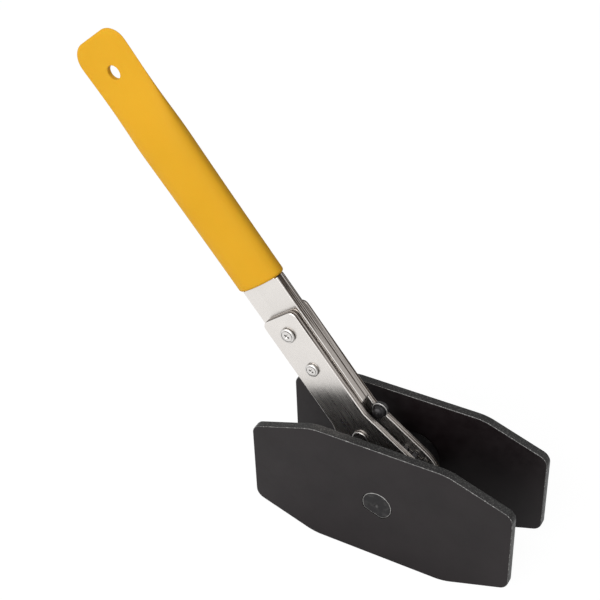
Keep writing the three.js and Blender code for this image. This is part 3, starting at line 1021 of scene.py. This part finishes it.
@dataclass
class Wheel(Assembly):
    """The toothed wheel with its hub, and the snap rings on it."""

    teeth: int = 20
    tooth_depth: float = 2.1
    land: float = 0.46
    foot: float = 0.6
    tooth_round: float = 0.34
    tip_allowance: float = 0.05
    hub: float = 13.0
    chamfer: float = 0.8
    bore: float = 9.0
    bore_chamfer: float = 0.9
    wheel_half: float = 2.7
    ring_groove: float = 1.2
    ring_gap: float = 0.3
    ring_width: float = 3.0
    ring_opening: float = math.radians(36)
    ring_rim: float = 0.15
    lug_radius: float = 2.3
    lug_eye: float = 0.8

    def build(self) -> None:
        """Builds the three pieces."""
        _, high = self.seat.extent("ratchet_wheel")
        self.place("ratchet_wheel_cut", self.wheel(high), self.finishes.oxide_worn_and_highlit, "black_oxide",
                   ["ratchet_wheel"])
        for side in ("front", "back"):
            node = f"{side}_snap_ring"
            low, high = self.seat.extent(node)
            self.place(f"{side}_snap_ring_bent", self.snap_ring(low, high), self.finishes.oxide,
                       "black_oxide", [node])

    def wheel(self, high: Vector) -> Mesh:
        """Makes the hub and teeth, the bore and the two ring grooves.

        Args:
            high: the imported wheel's highest corner.

        Returns:
            A closed mesh.
        """
        radius, end = self.hub, high.y
        hub = turned([
            (0, -end), (radius - self.chamfer, -end), (radius, self.chamfer - end),
            (radius, end - self.chamfer), (radius - self.chamfer, end), (0, end),
        ], 96)
        tip = max(high.x, high.z)
        wheel = combined(self.toothed_disc(tip + self.tip_allowance), hub, Join.ADD)
        mouth = self.bore + self.bore_chamfer + 1
        bore = turned([
            (0, -end - 1), (mouth, -end - 1), (self.bore, -end + self.bore_chamfer),
            (self.bore, end - self.bore_chamfer), (mouth, end + 1), (0, end + 1),
        ], 64)
        wheel = combined(wheel, bore)
        for side in ("front", "back"):
            low, high = self.seat.extent(f"{side}_snap_ring")
            near, far = low.y - self.ring_gap, high.y + self.ring_gap
            floor = radius - self.ring_groove
            groove = turned([
                (floor, near), (radius + 1, near), (radius + 1, far), (floor, far),
            ], 96, ring=True)
            wheel = combined(wheel, groove)
        return wheel

    def toothed_disc(self, tip: float) -> Mesh:
        """Makes the disc with its teeth, their edges slightly rounded.

        Args:
            tip: the radius of the teeth's tips.

        Returns:
            A closed mesh.
        """
        mesh = bmesh.new()
        bmesh.ops.create_circle(mesh, cap_ends=True, segments=self.teeth * 4, radius=tip)
        pitch = math.tau / self.teeth
        root = tip - self.tooth_depth
        corners = ((root, -self.foot), (tip, -self.land), (tip, self.land), (root, self.foot))
        mesh.verts.ensure_lookup_table()
        for index, vertex in enumerate(mesh.verts):
            radius, share = corners[index % 4]
            angle = (index // 4 + 0.5 + share / 2) * pitch
            vertex.co = (radius * math.cos(angle), -self.wheel_half, radius * math.sin(angle))
        thicken(mesh, self.wheel_half * 2)
        soften(mesh, self.tooth_round, 2, 25.0)
        return welded(mesh)

    def snap_ring(self, low: Vector, high: Vector) -> Mesh:
        """Makes an open ring with two drilled lugs.

        Args:
            low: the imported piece's lowest corner.
            high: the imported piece's highest corner.

        Returns:
            A closed mesh.
        """
        inner = self.hub - self.ring_groove + self.ring_gap
        outer = inner + self.ring_width
        half = self.ring_opening / 2
        start = Vector((math.cos(half), math.sin(half)))
        outline = Outline().to(outer * start.x, outer * start.y)
        outline.arc(0, 0, -(math.tau - 2 * half), 60).to(inner * start.x, -inner * start.y)
        ring = outline.arc(0, 0, math.tau - 2 * half, 60).solid(low.y, high.y, self.ring_rim, 2)
        reach = inner + self.lug_radius
        for side in (-1, 1):
            angle = side * (half + self.lug_radius * 0.4 / (inner + self.ring_width / 2))
            x, z = reach * math.cos(angle), reach * math.sin(angle)
            lug = round_bar(self.lug_radius, low.y, high.y, 32, self.ring_rim)
            shift(lug, x=x, z=z)
            ring = combined(ring, lug, Join.ADD)
            eye = round_bar(self.lug_eye, low.y - 1, high.y + 1, 20)
            shift(eye, x=x, z=z)
            ring = combined(ring, eye)
        return combined(ring, round_bar(inner, low.y - 1, high.y + 1, 96))


@dataclass
class ThrustWashers(Assembly):
    """The two washers between the head and the snap rings."""

    bore: float = 13.3
    rim: float = 0.18

    def build(self) -> None:
        """Builds both washers."""
        for side in ("front", "back"):
            node = f"{side}_thrust_washer"
            low, high = self.seat.extent(node)
            inner, outer = self.bore, high.x
            mesh = turned([
                (inner, low.y + self.rim), (inner + self.rim, low.y), (outer - self.rim, low.y),
                (outer, low.y + self.rim), (outer, high.y - self.rim), (outer - self.rim, high.y),
                (inner + self.rim, high.y), (inner, high.y - self.rim),
            ], 96, ring=True)
            self.place(f"{side}_thrust_washer_turned", mesh, self.finishes.oxide, "black_oxide", [node])


@dataclass
class Handle(Assembly):
    """The head's side plates, the flat bar between them, its sleeve and the screws."""

    rim: float = 0.45
    neck: float = 36.5
    plate_half: float = 10.0
    plate_round: float = 3.0
    bar_round: float = 1.5
    bore: float = 13.3
    cross_hole: float = 3.0
    tang_half: float = 9.5
    tang_gap: float = 0.3
    plunger_bore: float = 1.8
    plunger_bore_depth: float = 17.8
    head_height: float = 1.1
    head_under: float = 0.15
    shank: float = 1.5
    shank_chamfer: float = 0.2
    ring_outer_share: float = 0.78
    ring_inner_share: float = 0.68
    ring_depth: float = 0.5
    recess_turn: float = 0.5
    recess_floor_share: float = 0.16
    recess_mouth_share: float = 0.36
    recess_height: float = 1.2
    recess_lengthening: float = 1.9
    recess_thinning: float = 0.55
    recess_lift: float = 0.1
    barrel: float = 2.7
    barrel_chamfer: float = 0.2
    barrel_bore: float = 1.8
    barrel_bore_end: float = 3.3
    screw_names: tuple[str, ...] = ("upper", "lower", "pawl_pivot")
    screw_places: dict[str, float] = field(default_factory=dict)

    def build(self) -> None:
        """Builds every piece of the handle."""
        for name in self.screw_names:
            low, high = self.seat.extent(f"{name}_screw")
            self.screw_places[name] = (low.z + high.z) / 2
        for side in ("front", "back"):
            node = f"{side}_side_plate"
            self.place(f"{side}_side_plate_blanked", self.side_plate(*self.seat.extent(node)),
                       self.finishes.steel, "satin_steel", [node])
        self.place("handle_bar_blanked", self.bar(*self.seat.extent("handle_bar")),
                   self.finishes.steel, "satin_steel", ["handle_bar"])
        self.place("grip_sleeve_moulded", Sleeve(*self.seat.extent("grip_sleeve")).mesh(),
                   self.finishes.vinyl, "yellow_vinyl", ["grip_sleeve"])
        for name, along in self.screw_places.items():
            seat = self.seat.moved(z=along)
            for piece, make in (("screw", self.screw), ("barrel_nut", self.barrel_nut)):
                node = f"{name}_{piece}"
                self.place(f"{node}_turned", make(*seat.extent(node)), self.finishes.screw,
                           "bright_steel", [node], seat)

    def drilled(self, body: Mesh, places: Iterable[float], low: float, high: float) -> Mesh:
        """Drills the cross holes for the barrel nuts.

        Args:
            body: the mesh that is drilled; it is freed.
            places: the holes' places along the handle.
            low: the body's lower face along Y.
            high: the body's upper face along Y.

        Returns:
            The drilled mesh.
        """
        for along in places:
            hole = round_bar(self.cross_hole, low - 1, high + 1, 40)
            shift(hole, z=along)
            body = combined(body, hole)
        return body

    def side_plate(self, low: Vector, high: Vector) -> Mesh:
        """Makes one side plate: straight above the neck, then flared to a round head.

        Args:
            low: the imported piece's lowest corner.
            high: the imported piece's highest corner.

        Returns:
            A closed mesh.
        """
        head = -low.z
        half = self.plate_half
        reach = math.hypot(half, self.neck)
        tangent = math.pi / 2 - math.atan2(half, self.neck) - math.acos(head / reach)
        outline = Outline().to(-half, self.neck).to(-half, high.z, self.plate_round)
        outline.to(half, high.z, self.plate_round).to(half, self.neck)
        outline.to(head * math.cos(tangent), head * math.sin(tangent))
        outline.arc(0, 0, math.pi + 2 * tangent, 72)
        plate = outline.solid(low.y, high.y, self.rim, 3, 10)
        plate = combined(plate, round_bar(self.bore, low.y - 1, high.y + 1, 96))
        return self.drilled(plate, self.screw_places.values(), low.y, high.y)

    def bar(self, low: Vector, high: Vector) -> Mesh:
        """Makes the flat bar with its narrower tang and the plunger's bore.

        Args:
            low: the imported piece's lowest corner.
            high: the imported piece's highest corner.

        Returns:
            A closed mesh.
        """
        shoulder = self.seat.extent("grip_sleeve")[0].z - self.tang_gap
        half, tang = high.x, self.tang_half
        outline = Outline()
        for x, z, rounding in (
            (-half, low.z, self.bar_round), (-half, shoulder, 0), (-tang, shoulder, 0),
            (-tang, high.z, self.bar_round), (tang, high.z, self.bar_round), (tang, shoulder, 0),
            (half, shoulder, 0), (half, low.z, self.bar_round),
        ):
            outline.to(x, z, rounding)
        bar = outline.solid(low.y, high.y, self.rim)
        drill = round_bar(self.plunger_bore, -(low.z + self.plunger_bore_depth), 1 - low.z, 32)
        rotate(drill, -math.pi / 2, "X")
        bar = combined(bar, drill)
        places = [self.screw_places[name] for name in ("upper", "lower")]
        return self.drilled(bar, places, low.y, high.y)

    def head_profile(self, radius: float, base: float, top: float) -> list[tuple[float, float]]:
        """Gives the round of a low screw head, from its underside to its crown.

        Args:
            radius: the head's radius.
            base: its underside's place along Y.
            top: its crown's place along Y.

        Returns:
            Points of (radius, place along Y).
        """
        height = top - base
        return [
            (radius - self.head_under, base), (radius, base + height * 0.15), (radius, base + height * 0.62),
            (radius - 0.14, base + height * 0.8), (radius - 0.4, base + height * 0.9),
            (radius * 0.6, base + height * 0.985), (radius * 0.3, top),
        ]

    def screw(self, low: Vector, high: Vector) -> Mesh:
        """Makes a screw with a cross recess; its head faces -Y.

        Args:
            low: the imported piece's lowest corner.
            high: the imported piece's highest corner.

        Returns:
            A closed mesh.
        """
        radius, top = high.x, -low.y
        base = top - self.head_height
        body = turned([
            (0, -high.y), (self.shank - self.shank_chamfer, -high.y), (self.shank, 0.3 - high.y),
            (self.shank, base), *self.head_profile(radius, base, top), (0, top),
        ])
        outer, inner = radius * self.ring_outer_share, radius * self.ring_inner_share
        floor = top - self.ring_depth
        ring = turned([(outer, top + 1), (outer, floor), (inner, floor), (inner, top + 1)], 64, ring=True)
        body = combined(body, ring)
        for turn in (0, math.pi / 2):
            body = combined(body, self.recess_arm(radius, top, turn + self.recess_turn))
        rotate(body, math.pi, "Z")
        return body

    def recess_arm(self, radius: float, top: float, turn: float) -> Mesh:
        """Makes the cutter of one arm of the cross recess.

        Args:
            radius: the head's radius.
            top: the crown's place along Y.
            turn: which way the arm lies, in radians.

        Returns:
            A closed mesh, narrower at its floor.
        """
        arm = bmesh.new()
        bmesh.ops.create_cone(
            arm, cap_ends=True, segments=4, radius1=radius * self.recess_floor_share,
            radius2=radius * self.recess_mouth_share, depth=self.recess_height,
        )
        rotate(arm, math.pi / 4, "Z")
        stretch(arm, x=self.recess_lengthening, y=self.recess_thinning)
        rotate(arm, -math.pi / 2, "X")
        rotate(arm, turn, "Y")
        shift(arm, y=top - self.recess_lift)
        return arm

    def barrel_nut(self, low: Vector, high: Vector) -> Mesh:
        """Makes a barrel nut: a low head on a drilled barrel.

        Args:
            low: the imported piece's lowest corner.
            high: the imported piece's highest corner.

        Returns:
            A closed mesh.
        """
        base = high.y - self.head_height
        bore, outer, chamfer = self.barrel_bore, self.barrel, self.barrel_chamfer
        return turned([
            (bore, low.y), (outer - chamfer, low.y), (outer, low.y + chamfer), (outer, base),
            *self.head_profile(high.x, base, high.y), (0, high.y),
            (0, self.barrel_bore_end), (bore, self.barrel_bore_end), (bore, low.y),
        ])


@dataclass(frozen=True)
class Ring:
    """One cross-section of the sleeve."""

    along: float
    half_width: float
    half_thickness: float
    squareness: float


@dataclass
class Sleeve:
    """The vinyl sleeve: oval, flattened to a thin tab at its end, with a pocket for the bar's tang."""

    low: Vector
    high: Vector
    facets: int = 96
    end_steps: int = 14
    length_steps: int = 44
    lip_steps: int = 5
    squareness: float = 2.15
    mouth_half_width: float = 13.6
    widening_length: float = 115.0
    tab_half_thickness: float = 1.2
    tab_length: float = 19.0
    taper_length: float = 36.0
    end_round: float = 8.5
    lip: float = 1.5
    lip_share: float = 0.7
    pocket_half_width: float = 9.8
    pocket_half_thickness: float = 3.0
    pocket_squareness: float = 9.0
    pocket_lead: float = 0.35
    pocket_gap: float = 0.3
    hang_radius: float = 3.25
    hang_narrowing: float = 0.93
    hang_flare: float = 0.5
    hang_from_end: float = 17.3

    def flattening(self, along: float) -> float:
        """Gives how far the section has changed to the tab's, from 0 to 1.

        Args:
            along: the section's place along the handle.

        Returns:
            The share.
        """
        end = self.high.z - self.tab_length
        share = min(max((along - end + self.taper_length) / self.taper_length, 0.0), 1.0)
        return share * share * (3 - 2 * share)

    def outer(self, along: float) -> Ring:
        """Gives the outer section at a place along the handle.

        Args:
            along: the section's place along the handle.

        Returns:
            The section.
        """
        share = self.flattening(along)
        widened = min((along - self.low.z) / self.widening_length, 1.0) ** 2
        wide = self.mouth_half_width + (self.high.x - self.mouth_half_width) * widened
        thin = self.high.y + (self.tab_half_thickness - self.high.y) * share
        left = self.high.z - along
        if left < self.end_round:
            wide += math.sqrt(max(self.end_round ** 2 - (self.end_round - left) ** 2, 0.0)) - self.end_round
        if left < self.tab_half_thickness:
            thin = math.sqrt(max(self.tab_half_thickness ** 2 - (self.tab_half_thickness - left) ** 2, 0.01))
        return Ring(along, wide, thin, self.squareness)

    def rings(self) -> list[Ring]:
        """Lists the sections from the tab's end, down the outside, round the lip and up the pocket.

        Returns:
            The sections in that order.
        """
        length = self.high.z - self.low.z
        near, far, lip = self.end_steps, self.length_steps, self.lip_steps
        fine = [self.end_round * (1 - math.cos(step / near * math.pi / 2)) for step in range(near + 1)]
        plain = length - self.end_round - self.lip
        coarse = [self.end_round + plain * step / far for step in range(1, far + 1)]
        rings = [self.outer(self.high.z - max(left, 0.02)) for left in fine + coarse]
        mouth = rings[-1]
        for step in range(1, lip + 1):
            angle = step / lip * math.pi / 2
            inset = self.lip * (1 - math.cos(angle))
            rings.append(Ring(self.low.z + self.lip * (1 - math.sin(angle)), mouth.half_width - inset,
                              mouth.half_thickness - inset * self.lip_share, self.squareness))
        pocket_end = self.high.z - self.tab_length - self.taper_length + self.pocket_gap
        lead = self.pocket_lead
        for along, grown in ((self.low.z, lead), (self.low.z + lead, 0.0), (pocket_end, 0.0)):
            rings.append(Ring(along, self.pocket_half_width + grown, self.pocket_half_thickness + grown,
                              self.pocket_squareness))
        return rings

    def mesh(self) -> Mesh:
        """Lofts the sections and cuts the hang hole.

        Returns:
            A closed mesh.
        """
        mesh = bmesh.new()
        bmesh.ops.create_circle(mesh, cap_ends=True, segments=self.facets, radius=1)
        loop = mesh.verts[:]
        edges = mesh.edges[:]
        angles = [index / self.facets * math.tau for index in range(self.facets)]
        for index, ring in enumerate(self.rings()):
            if index:
                grown = bmesh.ops.extrude_edge_only(mesh, edges=edges)["geom"]
                edges = [item for item in grown if isinstance(item, bmesh.types.BMEdge)]
                before = {vertex: place for place, vertex in enumerate(loop)}
                loop = self.carried(edges, before)
            power = 2 / ring.squareness
            for vertex, angle in zip(loop, angles):
                across, through = math.cos(angle), math.sin(angle)
                vertex.co = (
                    math.copysign(abs(across) ** power, across) * ring.half_width,
                    math.copysign(abs(through) ** power, through) * ring.half_thickness,
                    ring.along,
                )
        bmesh.ops.holes_fill(mesh, edges=edges)
        sleeve = welded(mesh)
        return combined(sleeve, self.hang_tool())

    @staticmethod
    def carried(edges: list[bmesh.types.BMEdge],
                before: dict[bmesh.types.BMVert, int]) -> list[bmesh.types.BMVert]:
        """Finds the new ring's vertices in the old ring's order.

        Args:
            edges: the new ring's edges.
            before: the old ring's vertices, each with its place in the ring.

        Returns:
            The new ring's vertices.
        """
        fresh = {vertex for edge in edges for vertex in edge.verts}
        loop: list[bmesh.types.BMVert | None] = [None] * len(before)
        for vertex in fresh:
            others = (edge.other_vert(vertex) for edge in vertex.link_edges)
            loop[before[next(other for other in others if other in before)]] = vertex
        return loop

    def hang_tool(self) -> Mesh:
        """Makes the cutter of the hang hole, flared where it leaves the tab.

        Returns:
            A closed mesh.
        """
        flare = self.hang_flare
        depth = self.outer(self.high.z - self.hang_from_end).half_thickness
        profile = [(0, -depth - 2), (self.hang_radius + flare + 1, -depth - 2)]
        for side in (-1, 1):
            steps = range(5) if side < 0 else range(4, -1, -1)
            for step in steps:
                angle = step / 4 * math.pi / 2
                profile.append((self.hang_radius + flare * (1 - math.sin(angle)),
                                side * (depth + 0.02 - flare * (1 - math.cos(angle)))))
        profile += [(self.hang_radius + flare + 1, depth + 2), (0, depth + 2)]
        tool = turned(profile, 48)
        stretch(tool, x=self.hang_narrowing)
        shift(tool, z=self.high.z - self.hang_from_end)
        return tool


@dataclass
class Pawl(Assembly):
    """The two-ended pawl and the button on its arm."""

    throw: float = math.radians(16)
    crown: float = 8.0
    cheek_half: float = 6.0
    cheek_top: float = 5.29
    cheek_foot: float = 0.5
    heel_half: float = 7.8
    heel_drop: float = 5.8
    tip_spread: float = 7.0
    tip_drop: float = 8.7
    tip_width: float = 1.8
    tip_slope: float = 0.5
    waist_drop: float = 6.8
    pivot_hole: float = 3.0
    notch_radius: float = 1.6
    notch_rise: float = 1.0
    half: float = 2.7
    tab_half: float = 0.9
    arm_half: float = 1.7
    arm_foot: float = 3.5
    reach: float = 15.1
    gap: float = 0.3
    pin_radius: float = 0.8
    pin_hole: float = 1.1
    pin_slack: float = 1.0
    dome_height: float = 1.7
    button_angle: float = math.radians(28.3)
    button_radius: float = 3.0
    flange_radius: float = 3.7
    flange: float = 2.2

    def build(self) -> None:
        """Builds the pawl, its button and the pin."""
        self.place("direction_pawl_milled", self.pawl(), self.finishes.oxide, "black_oxide",
                   ["direction_pawl"], self.seat.moved(turn=-self.throw / 2))
        seat = self.seat.moved(turn=-self.button_angle).moved(x=self.reach)
        self.place("selector_button_turned", self.button(), self.finishes.oxide_worn_and_highlit, "black_oxide",
                   ["selector_button"], seat)
        self.place("selector_pin_turned", round_bar(self.pin_radius, -self.half, self.half, 32, 0.12),
                   self.finishes.oxide, "black_oxide", ["selector_pin"], seat)

    def pawl(self) -> Mesh:
        """Makes the pawl about its pivot, half way between its two positions.

        Returns:
            A closed mesh.
        """
        outer, inner = self.tip_spread, self.tip_spread - self.tip_width
        shoulder = self.tip_drop - self.tip_slope
        outline = Outline()
        for x, z, rounding in (
            (-outer, -self.tip_drop, 0.3), (-inner, -shoulder, 0.3), (-inner, -self.waist_drop, 0.5),
            (inner, -self.waist_drop, 0.5), (inner, -shoulder, 0.3), (outer, -self.tip_drop, 0.3),
            (self.heel_half, -self.heel_drop, 1.5), (self.cheek_half, self.cheek_foot, 0),
            (self.cheek_half, self.cheek_top, 0),
        ):
            outline.to(x, z, rounding)
        sweep = 2 * math.atan2(self.cheek_half, self.cheek_top)
        outline.arc(0, 0, -sweep, 24).to(-self.cheek_half, self.cheek_foot)
        outline.to(-self.heel_half, -self.heel_drop, 1.5)
        body = outline.solid(-self.half, self.half, 0.25, 2, 4)
        angle = self.button_angle - self.throw / 2
        block_end = self.reach - self.flange_radius - self.gap
        for thick, length, corner in (
            (self.half, block_end, 0.4), (self.tab_half, self.reach + self.arm_half, 1.5),
        ):
            body = combined(body, self.arm(thick, length, corner, angle), Join.ADD)
        pin_hole = round_bar(self.pin_hole, -3, 3, 24)
        shift(pin_hole, x=self.reach * math.cos(angle), z=self.reach * math.sin(angle))
        body = combined(body, pin_hole)
        away = self.crown + self.notch_rise
        for side in (-1, 1):
            notch = round_bar(self.notch_radius, -4, 4, 32)
            lean = side * self.throw / 2
            shift(notch, x=away * math.sin(lean), z=away * math.cos(lean))
            body = combined(body, notch)
        return combined(body, round_bar(self.pivot_hole, -4, 4, 48))

    def arm(self, thick: float, length: float, corner: float, angle: float) -> Mesh:
        """Makes one layer of the arm that carries the button.

        Args:
            thick: half its thickness.
            length: how far it reaches from the pivot.
            corner: the rounding of its outer corners.
            angle: how far it is lifted, in radians.

        Returns:
            A closed mesh.
        """
        outline = Outline().to(self.arm_foot, -self.arm_half).to(length, -self.arm_half, corner)
        strip = outline.to(length, self.arm_half, corner).to(self.arm_foot, self.arm_half)
        strip = strip.solid(-thick, thick, 0.15, 2, 4)
        rotate(strip, -angle, "Y")
        return strip

    def part_of(self, face: bmesh.types.BMFace) -> Part:
        """Keeps the painted edge highlight off the button's dome, so that it stays dark, and leaves that
        highlight, with its rubbed wear, on the edge of its flange.

        Args:
            face: a face in the button's local frame.

        Returns:
            The stretch that the face is dressed as.
        """
        part = super().part_of(face)
        return Part.WALL if part is Part.ROUNDED and face.calc_center_median().y < 0 else part

    def button(self) -> Mesh:
        """Makes the flanged button, slotted for the pawl's arm.

        Returns:
            A closed mesh.
        """
        step = self.half - self.flange
        barrel = self.button_radius - 0.15
        rise, outer, rim = self.dome_height, self.flange_radius, 0.3
        angles = [part / 6 * math.pi / 2 for part in range(7)]
        dome = [(barrel * math.sin(angle), rise - rise * math.cos(angle) - self.half) for angle in angles]
        body = turned([
            *dome, (barrel, step - 0.1), (outer - rim, step), (outer, step + rim),
            (outer, self.half - rim), (outer - rim, self.half), (0, self.half),
        ])
        slot = bmesh.new()
        bmesh.ops.create_cube(slot, size=1)
        inner = self.arm_half + self.gap
        length = outer + 1 + inner
        stretch(slot, x=length, y=2 * (self.tab_half + self.gap), z=2 * inner)
        shift(slot, x=inner - length / 2)
        body = combined(body, slot)
        return combined(body, round_bar(self.pin_slack, -4, 4, 24))


@dataclass
class Detent(Assembly):
    """What the plunger and its spring share: their radius, and a frame with Y along the handle."""

    radius: float = 1.5

    def upright(self) -> Seat:
        """Gives the frame with Y along the handle."""
        return Seat(self.seat.matrix @ Matrix.Rotation(math.pi / 2, 4, "X"))


@dataclass
class DetentPlunger(Detent):
    """The plunger that drops into the pawl's notches, round-nosed."""

    nose_steps: int = 8
    chamfer: float = 0.2

    def build(self) -> None:
        """Builds the plunger."""
        seat = self.upright()
        low, high = seat.extent("detent_plunger")
        profile = [(0, low.y)]
        for step in range(1, self.nose_steps + 1):
            angle = step / self.nose_steps * math.pi / 2
            profile.append((self.radius * math.sin(angle), low.y + self.radius * (1 - math.cos(angle))))
        profile += [(self.radius, high.y - self.chamfer), (self.radius - self.chamfer, high.y), (0, high.y)]
        self.place("detent_plunger_turned", turned(profile, 48), self.finishes.screw, "bright_steel",
                   ["detent_plunger"], seat)


@dataclass
class DetentSpring(Detent):
    """The coil spring behind the plunger."""

    wire: float = 0.25
    turns: float = 8.0
    facets: int = 10

    def build(self) -> None:
        """Builds the spring."""
        seat = self.upright()
        low, high = seat.extent("detent_spring")
        mean, base = self.radius - self.wire, low.y + self.wire
        angles = [step / self.facets * math.tau for step in range(self.facets)]
        section = [
            (mean + self.wire * math.cos(angle), base + self.wire * math.sin(angle)) for angle in angles
        ]
        pitch = (high.y - low.y - 2 * self.wire) / self.turns
        self.place("detent_spring_wound", helix(section, pitch, self.turns, 28), self.finishes.screw,
                   "bright_steel", ["detent_spring"], seat)


# Studio ----------------------------------------------------------------------------------------------


@dataclass(frozen=True)
class Lamp:
    """A soft square lamp: its name, its place from the ratchet axis, its side and its power."""

    name: str
    place: tuple[float, float, float]
    size: float
    watts: float


@dataclass(frozen=True)
class Studio:
    """The floor, the lamps and the camera."""

    azimuth: float = math.radians(30.8)
    elevation: float = math.radians(36.17)
    roll: float = math.radians(-2.32)
    distance: float = 0.57394
    lens: float = 79.77
    target: tuple[float, float, float] = (-0.04814, 0.0, 0.08242)
    floor_size: float = 12.0
    floor_glow: float = 1.22
    floor_shadow: float = 0.22
    floor_painted_shade_reach: float = 0.05
    ambient: float = 0.2
    shown_white: float = 1.0
    lamps: tuple[Lamp, ...] = (
        Lamp("key", (-0.3, -1.6, 0.95), 2.0, 37.5),
        Lamp("rim", (0.9, 1.2, 1.3), 0.9, 5.0),
    )

    def build(self) -> None:
        """Sets up the whole studio."""
        self.floor()
        self.world()
        for lamp in self.lamps:
            self.hang(lamp)
        self.camera()

    def white_for_view(self, tree: bpy.types.NodeTree, surface: Socket,
                       white: Socket) -> Socket:
        """Shows plain white to the camera and to gloss, and the real surface to all other light.

        Args:
            tree: the nodes that it is added to.
            surface: the real surface's shader.
            white: the white shader.

        Returns:
            The mixed shader's socket.
        """
        path = tree.nodes.new("ShaderNodeLightPath")
        seen = tree.nodes.new("ShaderNodeMath")
        seen.operation = "MAXIMUM"
        tree.links.new(path.outputs["Is Camera Ray"], seen.inputs[0])
        tree.links.new(path.outputs["Is Glossy Ray"], seen.inputs[1])
        mix = tree.nodes.new("ShaderNodeMixShader")
        tree.links.new(seen.outputs[0], mix.inputs[0])
        tree.links.new(surface, mix.inputs[1])
        tree.links.new(white, mix.inputs[2])
        return mix.outputs[0]

    def floor(self) -> None:
        """Makes the pale floor, which keeps a soft shadow; reflections see its glow darkened near the tool by
        painted shade.
        """
        mesh = bmesh.new()
        bmesh.ops.create_grid(mesh, x_segments=2, y_segments=2, size=self.floor_size / 2)
        data = bpy.data.meshes.new("floor")
        mesh.to_mesh(data)
        mesh.free()
        floor = bpy.data.objects.new("floor", data)
        bpy.context.scene.collection.objects.link(floor)
        recipe = Recipe("pale_floor")
        recipe.dress(Base_Color=(0.5, 0.5, 0.5), Roughness=0.9, Specular_IOR_Level=0.0)
        tree = recipe.tree
        path = recipe.add("ShaderNodeLightPath")
        # Painted shade: an occlusion pattern darkens the glow that reflections see near the tool, between and
        # under the parts.
        shaded = recipe.add("ShaderNodeAmbientOcclusion", {"Distance": self.floor_painted_shade_reach}, samples=8)
        near = recipe.reckoned("SUBTRACT", 1.0, shaded.outputs["AO"])
        lost = recipe.reckoned("MULTIPLY", near, path.outputs["Is Glossy Ray"])
        kept = recipe.reckoned("SUBTRACT", 1.0, lost)
        strength = recipe.reckoned("MULTIPLY", kept, self.floor_glow)
        glow = recipe.add("ShaderNodeEmission", {"Color": (1.0, 1.0, 1.0), "Strength": strength})
        both = recipe.add("ShaderNodeMixShader", {0: self.floor_shadow})
        tree.links.new(glow.outputs[0], both.inputs[1])
        tree.links.new(recipe.shader.outputs[0], both.inputs[2])
        shown = self.white_for_view(tree, recipe.shader.outputs[0], both.outputs[0])
        tree.links.new(shown, tree.nodes["Material Output"].inputs["Surface"])
        data.materials.append(recipe.material)

    def world(self) -> None:
        """Makes the even ambient light, white where the camera or a reflection sees it."""
        world = bpy.data.worlds.new("studio")
        world.use_nodes = True
        tree = world.node_tree
        light = tree.nodes["Background"]
        light.inputs["Color"].default_value = (1.0, 1.0, 1.0, 1.0)
        light.inputs["Strength"].default_value = self.ambient
        white = tree.nodes.new("ShaderNodeBackground")
        white.inputs["Color"].default_value = (1.0, 1.0, 1.0, 1.0)
        white.inputs["Strength"].default_value = self.shown_white
        shown = self.white_for_view(tree, light.outputs[0], white.outputs[0])
        tree.links.new(shown, tree.nodes["World Output"].inputs["Surface"])
        bpy.context.scene.world = world

    def hang(self, lamp: Lamp) -> None:
        """Adds a lamp aimed at the tool.

        Args:
            lamp: what it is and where it hangs.
        """
        data = bpy.data.lights.new(lamp.name, "AREA")
        data.size = lamp.size
        data.energy = lamp.watts
        holder = bpy.data.objects.new(lamp.name, data)
        bpy.context.scene.collection.objects.link(holder)
        holder.location = RATCHET_AXIS + Vector(lamp.place)
        aim = RATCHET_AXIS + Vector(self.target) - holder.location
        holder.rotation_euler = aim.to_track_quat("-Z", "Y").to_euler()

    def camera(self) -> None:
        """Adds the camera."""
        back = Vector((
            math.sin(self.azimuth) * math.cos(self.elevation),
            -math.cos(self.azimuth) * math.cos(self.elevation),
            math.sin(self.elevation),
        ))
        level = Vector((math.cos(self.azimuth), math.sin(self.azimuth), 0))
        upright = back.cross(level)
        right = level * math.cos(self.roll) + upright * math.sin(self.roll)
        up = upright * math.cos(self.roll) - level * math.sin(self.roll)
        data = bpy.data.cameras.new("camera")
        data.lens = self.lens
        camera = bpy.data.objects.new("camera", data)
        bpy.context.scene.collection.objects.link(camera)
        turn = Matrix((right, up, back)).transposed().to_4x4()
        place = RATCHET_AXIS + Vector(self.target) + back * self.distance
        camera.matrix_world = Matrix.Translation(place) @ turn
        bpy.context.scene.camera = camera


def main() -> None:
    """Builds the studio and every sub-assembly."""
    logging.basicConfig(level=logging.INFO, format="%(name)s %(message)s")
    bpy.context.scene.view_settings.view_transform = "Standard"
    Studio().build()
    finishes = Finishes()
    for side in ("front", "back"):
        PressSide(finishes, RATCHET_SEAT, f"{side}_press", side=side).build()
    Wheel(finishes, RATCHET_SEAT, "wheel").build()
    ThrustWashers(finishes, RATCHET_SEAT, "swivel").build()
    Handle(finishes, HANDLE_SEAT, "handle").build()
    Pawl(finishes, PAWL_SEAT, "pawl").build()
    DetentPlunger(finishes, HANDLE_SEAT, "plunger").build()
    DetentSpring(finishes, HANDLE_SEAT, "handle").build()


if __name__ == "__main__":
    main()
